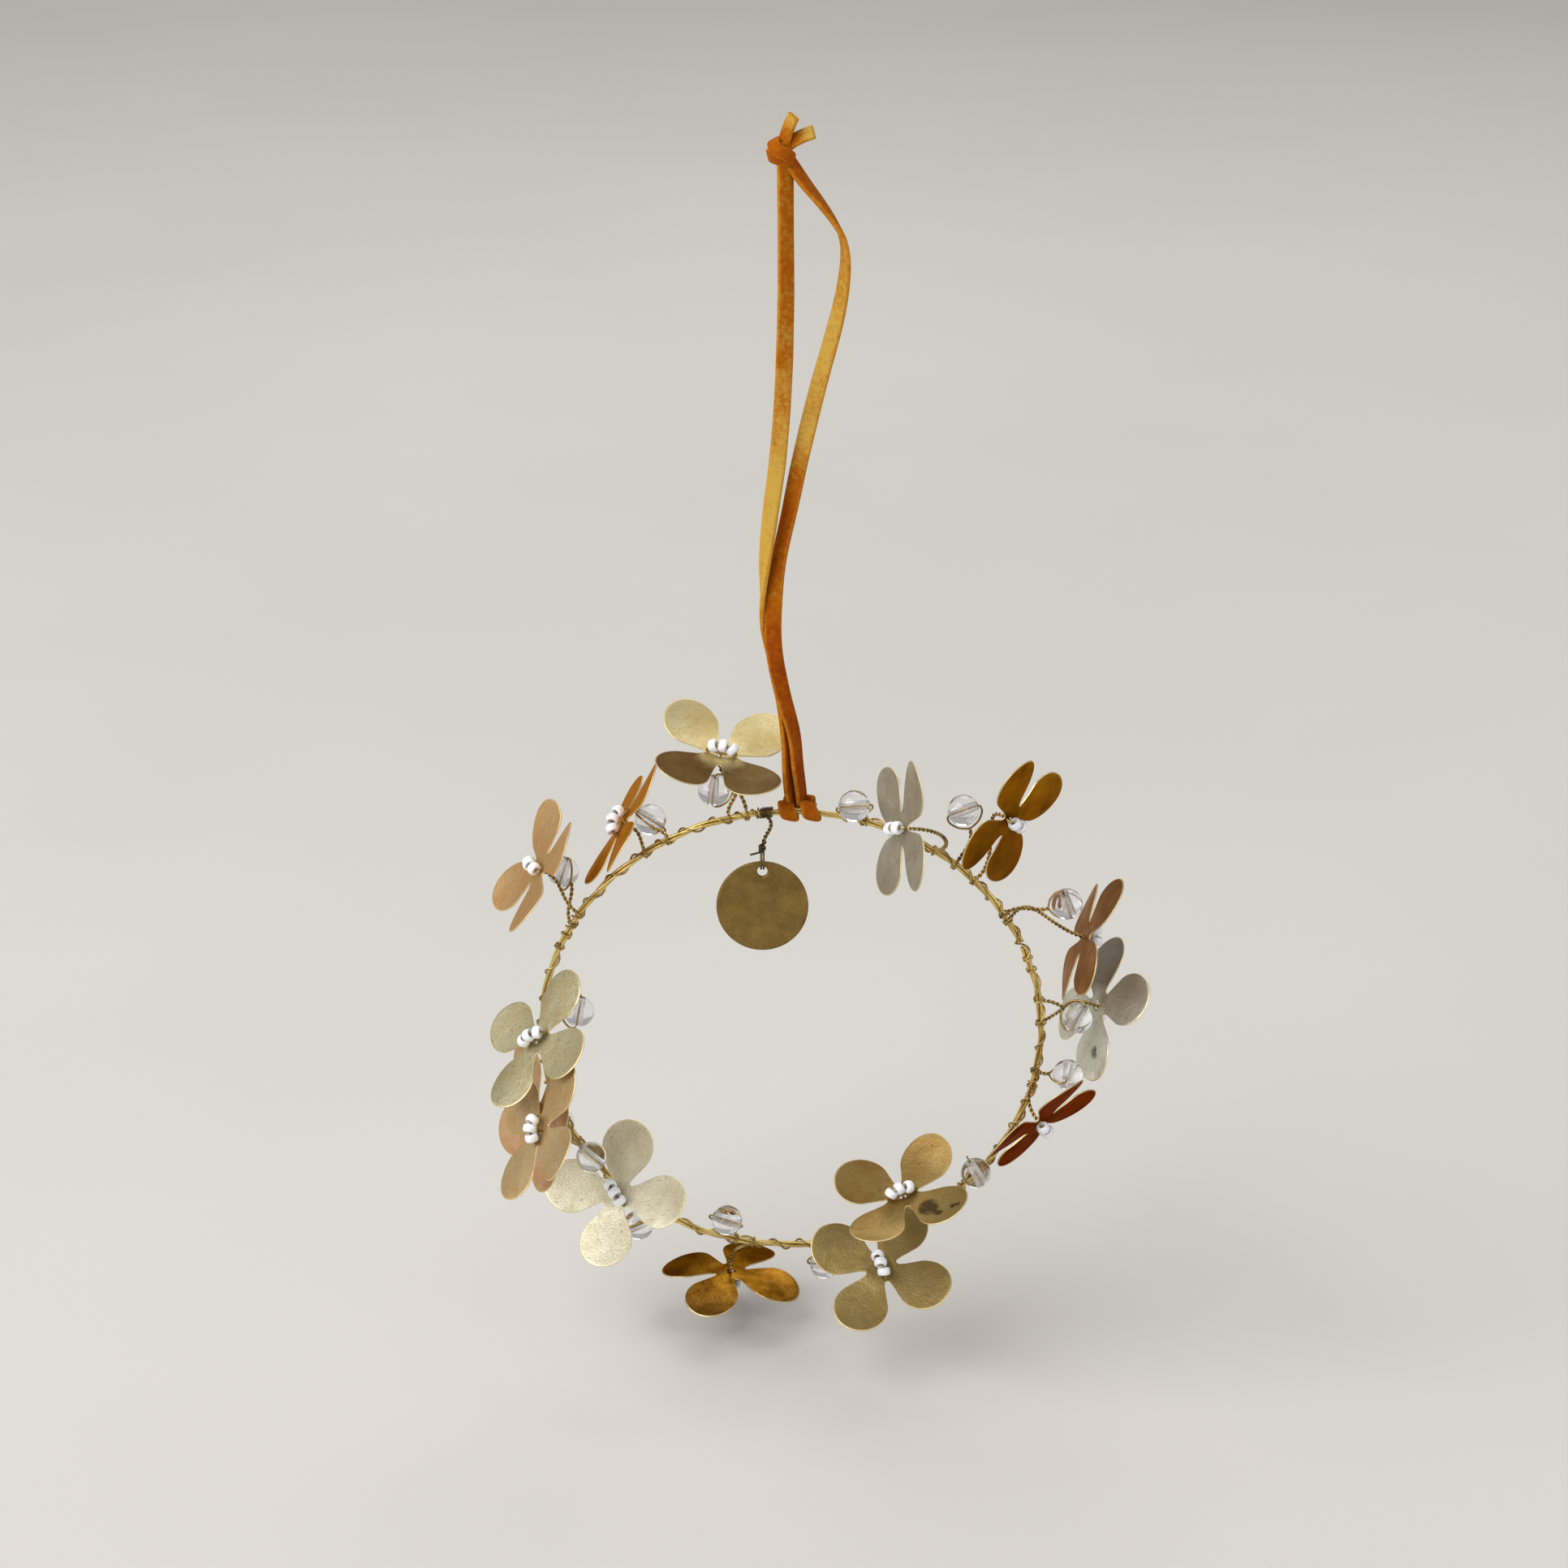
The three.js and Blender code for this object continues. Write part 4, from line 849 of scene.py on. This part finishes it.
def flower_brass(name, bright, dull, rough, dull_share, specks=0.0, patch=6.0, paling=0.55):
    """Aged sheet brass: a film in soft patches over the metal, fine pits and a few dark specks, darker petals and
    stains where the piece carries them, bright cut edges, and shallow dents. The darker petals are browning on some
    flowers and painted reflection, dark surroundings mirrored in the metal, on others. Paling whitens the metal's
    reflection at a flat angle."""
    material, tree, surface = blank_material("flower_brass_" + name)
    film = cloud(tree, patch, detail=6.0, rough=0.6)
    edge = 0.9 - 0.8 * dull_share
    tone = ramp(tree, film, [(edge - 0.2, bright), (edge + 0.2, dull)])
    dark = tuple(value * 0.3 for value in dull[:3]) + (1.0,)
    pits = spread(tree, cloud(tree, 0.3, detail=2.0), 0.0, 0.4, start=0.56, end=0.7)
    dots = spread(tree, cloud(tree, 0.8, detail=2.0), 0.0, specks, start=0.66, end=0.74)
    ragged = sums(tree, "MULTIPLY", mark(tree, "stain"), cloud(tree, 1.8, detail=5.0))
    stained = spread(tree, ragged, 0.0, 0.85, start=0.2, end=0.42)
    cut = sums(tree, "MULTIPLY", mark(tree, "cut_edge"), 0.75)
    # The brown colour over the darker petals is browning on flower 6 and painted reflection on flowers 4 and 15.
    for factor, colour in (
        (mark(tree, "browning_and_reflection"), shade(86, 54, 14)), (pits, dark), (dots, dark), (stained, shade(70, 56, 38)),
        (cut, shade(236, 220, 170)),
    ):
        tone = blend(tree, factor, tone, colour)
    grain = cloud(tree, 0.4, detail=4.0)
    dent = cloud(tree, 3.0, detail=2.0)
    feed(tree, surface, {
        "Base Color": tone,
        "Roughness": spread(tree, film, rough, rough + 0.18),
        "Metallic": 1.0,
        "Specular Tint": [paling + (1.0 - paling) * value for value in bright],
        "Normal": relief(tree, sums(tree, "ADD", spread(tree, grain, 0.0, 0.25), dent), 0.12),
    })
    return material


# Finishes: the metal, the dull film on it, the roughness, how far the film has spread, and what else differs
FLOWER_FINISHES = {
    "silvery": ((204, 200, 182), (164, 154, 130), 0.36, 0.45, {"specks": 0.6}),
    "brown": ((183, 129, 45), (125, 83, 24), 0.34, 0.55, {"specks": 0.4, "paling": 0.2}),
    "copper": ((180, 130, 82), (138, 96, 54), 0.36, 0.5, {"specks": 0.3, "paling": 0.5}),
    "grey_olive": ((234, 231, 217), (192, 188, 164), 0.34, 0.45, {"specks": 0.6}),
    "red_brown": ((158, 88, 24), (102, 54, 13), 0.34, 0.55, {"specks": 0.4, "paling": 0.2}),
    "stained": ((178, 152, 96), (142, 110, 56), 0.4, 0.45, {"specks": 0.6, "patch": 9.0}),
    "olive": ((172, 153, 102), (138, 116, 68), 0.42, 0.5, {"specks": 0.4}),
    "dark_shine": ((158, 113, 44), (92, 59, 20), 0.2, 0.5, {"specks": 0.3, "paling": 0.2}),
    "cream": ((229, 225, 204), (209, 202, 170), 0.48, 0.4, {"specks": 0.7}),
    "tan": ((216, 194, 152), (186, 152, 102), 0.42, 0.5, {"specks": 0.5}),
    "rosy": ((225, 190, 156), (195, 151, 103), 0.4, 0.5, {"specks": 0.3}),
    "olive_cream": ((198, 190, 156), (170, 154, 112), 0.4, 0.45, {"specks": 0.5}),
    "sandy": ((225, 190, 137), (197, 155, 103), 0.42, 0.5, {"specks": 0.5}),
    "amber": ((222, 159, 70), (180, 115, 42), 0.38, 0.5, {"specks": 0.4, "paling": 0.2}),
    "pale_gold": ((230, 216, 168), (206, 184, 124), 0.44, 0.45, {}),
}
flower_finishes = {
    finish: flower_brass(finish, shade(*bright), shade(*dull), rough, film, **others)
    for finish, (bright, dull, rough, film, others) in FLOWER_FINISHES.items()
}

# Brown stains, by flower: the way from the hub, the distance and the radius of each
STAINS = {4: [(3.1, 9.4, 1.2)], 6: [(-0.15, 6.8, 2.0), (-0.2, 9.4, 1.1), (0.0, 11.6, 0.7), (0.05, 13.0, 0.6)]}
# Darker petals, by flower: the petal's number, counted to the left from the first, and how dark it is. On flowers 4
# and 15 this is painted reflection, dark surroundings mirrored in the petals; on flower 6 it is browning.
BROWNING_AND_PAINTED_REFLECTION = {4: {0: 0.6}, 6: {2: 0.3}, 15: {2: 0.95, 3: 0.9}}
for order, (flower, bead, finish) in enumerate(SPRIGS):
    centre, axes, cup, row = flower_frame(flower)
    sheet = pressed_flower(cup, order + 1)
    placed = sheet @ axes + centre
    stain = np.zeros(sheet.shape[:2])
    for way, distance, radius in STAINS.get(order + 1, []):
        apart = np.hypot(sheet[..., 0] - distance * np.cos(way), sheet[..., 1] - distance * np.sin(way))
        stain = np.maximum(stain, np.clip(1.6 - apart / radius, 0.0, 1.0))
    quarter = np.round(np.arctan2(sheet[..., 1], sheet[..., 0]) / (np.pi / 2)) % 4
    outer = np.clip((np.hypot(sheet[..., 0], sheet[..., 1]) - DARKENING_START) / DARKENING_START, 0.0, 1.0)
    browning_and_reflection = np.zeros(sheet.shape[:2])
    for petal, share in BROWNING_AND_PAINTED_REFLECTION.get(order + 1, {}).items():
        browning_and_reflection += (quarter == petal) * outer * share
    cut_edge = np.repeat(CUT_EDGE, sheet.shape[1])
    marks = {"cut_edge": cut_edge, "stain": stain.ravel(), "browning_and_reflection": browning_and_reflection.ravel()}
    name = f"flower_{order + 1:02d}"
    piece(name + "_petals", [(hung(placed), True)], flower_finishes[finish], name, [name], "flower_brass", marks)

# Seed beads: three small glossy white glass beads in a row on each flower's wire loop, cut from a drawn glass
# tube and tumbled round. They sit on the arch of the loop, each at its own slight tilt.
SEED_DIAMETER = 2.6
SEED_BORE = 1.0
SEED_AROUND = 28
SEED_POINTS = 16
SEED_FIT = 0.92
SEED_SQUARE = 0.92
SEED_STEP = 0.56
SEED_TILT = 0.34

white_glass, tree, surface = blank_material("white_bead_glass")
tone = ramp(tree, cloud(tree, 1.2), [(0.3, shade(226, 230, 238)), (0.7, shade(242, 243, 246))])
feed(tree, surface, {
    "Base Color": tone,
    "Roughness": spread(tree, cloud(tree, 0.6), 0.1, 0.2),
    "Coat Weight": 0.4,
    "Coat Roughness": 0.06,
    "Subsurface Weight": 0.15,
    "Subsurface Radius": (0.0008, 0.0008, 0.0009),
})


def ring_shape(bore, outside, length, around, across, square):
    """A bead turned about its bore: a closed rounded section, cosine and sine raised to a power, carried round
    the axis."""
    turn = np.linspace(0.0, 2 * np.pi, across, endpoint=False)
    middle, half = (outside + bore) / 4, (outside - bore) / 4
    radius = middle + half * np.sign(np.cos(turn)) * np.abs(np.cos(turn)) ** square
    height = length / 2 * np.sign(np.sin(turn)) * np.abs(np.sin(turn)) ** square
    spin = np.linspace(0.0, 2 * np.pi, around, endpoint=False)[:, None]
    return np.stack([radius * np.cos(spin), radius * np.sin(spin), np.broadcast_to(height, (around, across))], axis=2)


seed_shape = ring_shape(SEED_BORE, SEED_DIAMETER, SEED_LENGTH * SEED_FIT, SEED_AROUND, SEED_POINTS, SEED_SQUARE)
for order, (flower, bead, finish) in enumerate(SPRIGS):
    centre, axes, cup, row = flower_frame(flower)
    facing = axes[2]
    side = np.cross(row, facing)
    grids = []
    for seed in (-1, 0, 1):
        tilt = SEED_TILT * math.sin(2.3 * order + 0.4 * seed)
        arch = SEED_STEP * seed + 0.1 * math.sin(1.1 * order)
        axis = unit(row * math.cos(arch) - facing * math.sin(arch) + side * tilt)
        first = unit(side - side.dot(axis) * axis)
        height = SEED_HEIGHT - SEED_ARCH * (1 - math.cos(arch))
        place = centre + facing * height + row * SEED_ARCH * math.sin(arch)
        grids.append((hung(seed_shape @ np.stack([first, np.cross(axis, first), axis]) + place), True))
    name = f"seed_beads_{order + 1:02d}"
    piece(name + "_glass", grids, white_glass, "wreath", [name], "white_glass")

# Glass beads: clear round 6 mm beads with a drilled bore, one beside each flower. The bore's wall and its two
# mouths are slightly frosted, so the bore shows as a paler tube through the glass.
GLASS_BORE = 1.4
GLASS_AROUND = 44
GLASS_ROWS = 30
BORE_ROWS = 10

clear_glass, tree, surface = blank_material("clear_bead_glass")
haze = spread(tree, cloud(tree, 1.0), 0.0, 0.05)
feed(tree, surface, {
    "Base Color": shade(250, 250, 252),
    "Transmission Weight": 1.0,
    "IOR": 1.46,
    "Roughness": sums(tree, "MULTIPLY_ADD", mark(tree, "bore_wall"), 0.5, haze),
    "Normal": relief(tree, cloud(tree, 2.0), 0.02),
})

rim = math.asin(GLASS_BORE / GLASS_DIAMETER)
ball_turn = np.linspace(rim, np.pi - rim, GLASS_ROWS)
ball_radius = GLASS_DIAMETER / 2 * np.sin(ball_turn)
ball_height = -GLASS_DIAMETER / 2 * np.cos(ball_turn)
bore_height = np.linspace(ball_height[-1], ball_height[0], BORE_ROWS + 2)[1:-1]
bead_radius = np.concatenate([ball_radius, np.full(BORE_ROWS, GLASS_BORE / 2)])
bead_height = np.concatenate([ball_height, bore_height])
bead_spin = np.linspace(0.0, 2 * np.pi, GLASS_AROUND, endpoint=False)[:, None]
bead_height = np.broadcast_to(bead_height, (GLASS_AROUND, GLASS_ROWS + BORE_ROWS))
drilled_ball = np.stack([bead_radius * np.cos(bead_spin), bead_radius * np.sin(bead_spin), bead_height], axis=2)
in_bore = np.tile((bead_radius < GLASS_BORE / 2 + 0.01).astype(float), GLASS_AROUND)
for order, (flower, bead, finish) in enumerate(SPRIGS):
    centre, bore, stem_side = bead_axes(bead)
    placed = drilled_ball @ np.stack([stem_side, np.cross(bore, stem_side), bore]) + centre
    name = f"glass_bead_{order + 1:02d}"
    piece(
        name + "_ball", [(hung(placed), True)], clear_glass, name, [name], "clear_glass", {"bore_wall": in_bore}
    )

# Tag: a plain round disc of 0.5 mm brass with a hole near its rim. It hangs inside the top of the ring on a
# double loop of dark wire, which is twisted up to the ring, coiled on it and wrapped where the twist begins.
TAG_DIAMETER = 17.6
TAG_THICKNESS = 0.5
TAG_HOLE = 2.0
TAG_HOLE_INSET = 1.9
TAG_CLOCK = -5.5
TAG_DROP = 12.5
TAG_SIDE = 0.9
TAG_LEAN = 12.0
TAG_RIM_HEIGHT = 0.08
TAG_RIM_INSET = 0.45
TAG_RIM_WIDTH = 0.35
TAG_FIT_GAP = 0.3
TAG_LOOP_SIDE = 0.24
TAG_COIL_TURNS = 5
TAG_COIL_STEP = 0.5
TAG_STEM_LEAN = 0.6
TAG_WRAP_RADIUS = 0.55
TAG_WRAP_PITCH = 0.42

tag_brass = brass("tag_brass", shade(150, 124, 70), shade(116, 93, 49), 0.4, patch=5.0, grain=0.05)
hole_to_middle = TAG_DIAMETER / 2 - TAG_HOLE_INSET
ray = np.linspace(0.0, 2 * np.pi, 160, endpoint=False)
lift = -hole_to_middle * np.sin(ray)
ray_length = lift + np.sqrt(lift**2 - hole_to_middle**2 + (TAG_DIAMETER / 2) ** 2)
tag_outline = np.stack([np.cos(ray), np.sin(ray)], axis=1) * ray_length[:, None]
disc = stamped(tag_outline, TAG_HOLE, thickness=TAG_THICKNESS)
from_middle = np.hypot(disc[..., 0], disc[..., 1] + hole_to_middle)
rolled_rim = np.exp(-(((from_middle - TAG_DIAMETER / 2 + TAG_RIM_INSET) / TAG_RIM_WIDTH) ** 2))
disc[..., 2] += np.sign(disc[..., 2]) * TAG_RIM_HEIGHT * rolled_rim
tag_side = np.array([1.0, 0.0, 0.0])
tag_up = np.array([0.0, math.sin(math.radians(TAG_LEAN)), math.cos(math.radians(TAG_LEAN))])
tag_out = np.cross(tag_side, tag_up)
tag_axes = np.stack([tag_side, tag_up, tag_out])
tag_hole = outward(np.float64(TAG_CLOCK)) * RING_RADIUS + [-TAG_SIDE, 0.0, -TAG_DROP]
piece("tag_disc", [(hung(disc @ tag_axes + tag_hole), True)], tag_brass, "tag", ["tag"], "tag_brass")

loop_radius = TAG_HOLE_INSET
loop_middle = tag_hole + tag_up * (loop_radius + TAG_HOLE / 2 - TAG_FIT_GAP - WIRE_DIAMETER / 2)
loop_turn = np.linspace(0.0, 2 * np.pi, 60, endpoint=False)[:, None]
loop_line = loop_middle + loop_radius * (np.cos(loop_turn) * tag_up + np.sin(loop_turn) * tag_out)
loop_top = loop_middle + tag_up * loop_radius
tag_phase = root_phase(TAG_CLOCK, loop_top)
tag_root, tag_away = beside_ring(TAG_CLOCK, WRAP_ORBIT, tag_phase)
coil_turn = np.linspace(-TAG_COIL_TURNS / 2, TAG_COIL_TURNS / 2, 140)
coil_clock, coil_phase = TAG_CLOCK + TAG_COIL_STEP * coil_turn, tag_phase + 2 * np.pi * coil_turn
wrap_turn = np.linspace(-1.5 * np.pi, 3.5 * np.pi, 110)[:, None]
wrap_away = np.cos(wrap_turn) * tag_side + np.sin(wrap_turn) * tag_out
wrap_line = loop_top + TAG_WRAP_RADIUS * wrap_away + tag_up * TAG_WRAP_PITCH * wrap_turn / (2 * np.pi)
tag_grids = [
    *[wire(loop_line + tag_side * side, tag_side[None, :], closed=True) for side in (-TAG_LOOP_SIDE, TAG_LOOP_SIDE)],
    *twisted_pair(bend(tag_root, unit(tag_away + TAG_STEM_LEAN * tag_side), loop_top, -tag_up, STEM_HANDLE)),
    wire(*beside_ring(coil_clock, WRAP_ORBIT, coil_phase)),
    wire(wrap_line, wrap_away),
    open_loop([wrap_line[0], wrap_line[0] + [-0.9, -0.6, 0.0], wrap_line[0] + [-2.3, -1.0, -0.2]]),
    open_loop([wrap_line[-1], wrap_line[-1] + [0.4, -0.2, 0.3], wrap_line[-1] + [0.7, -0.3, 0.8]]),
]
dark_wire = brass("tag_wire_dark_brass", shade(150, 126, 78), shade(84, 68, 42), 0.32, patch=3.0, dull_share=0.6)
tag_grids = [(hung(points), closed) for points, closed in tag_grids]
piece("tag_wire_brass", tag_grids, dark_wire, "wreath", ["tag_wire"], "wire_brass")
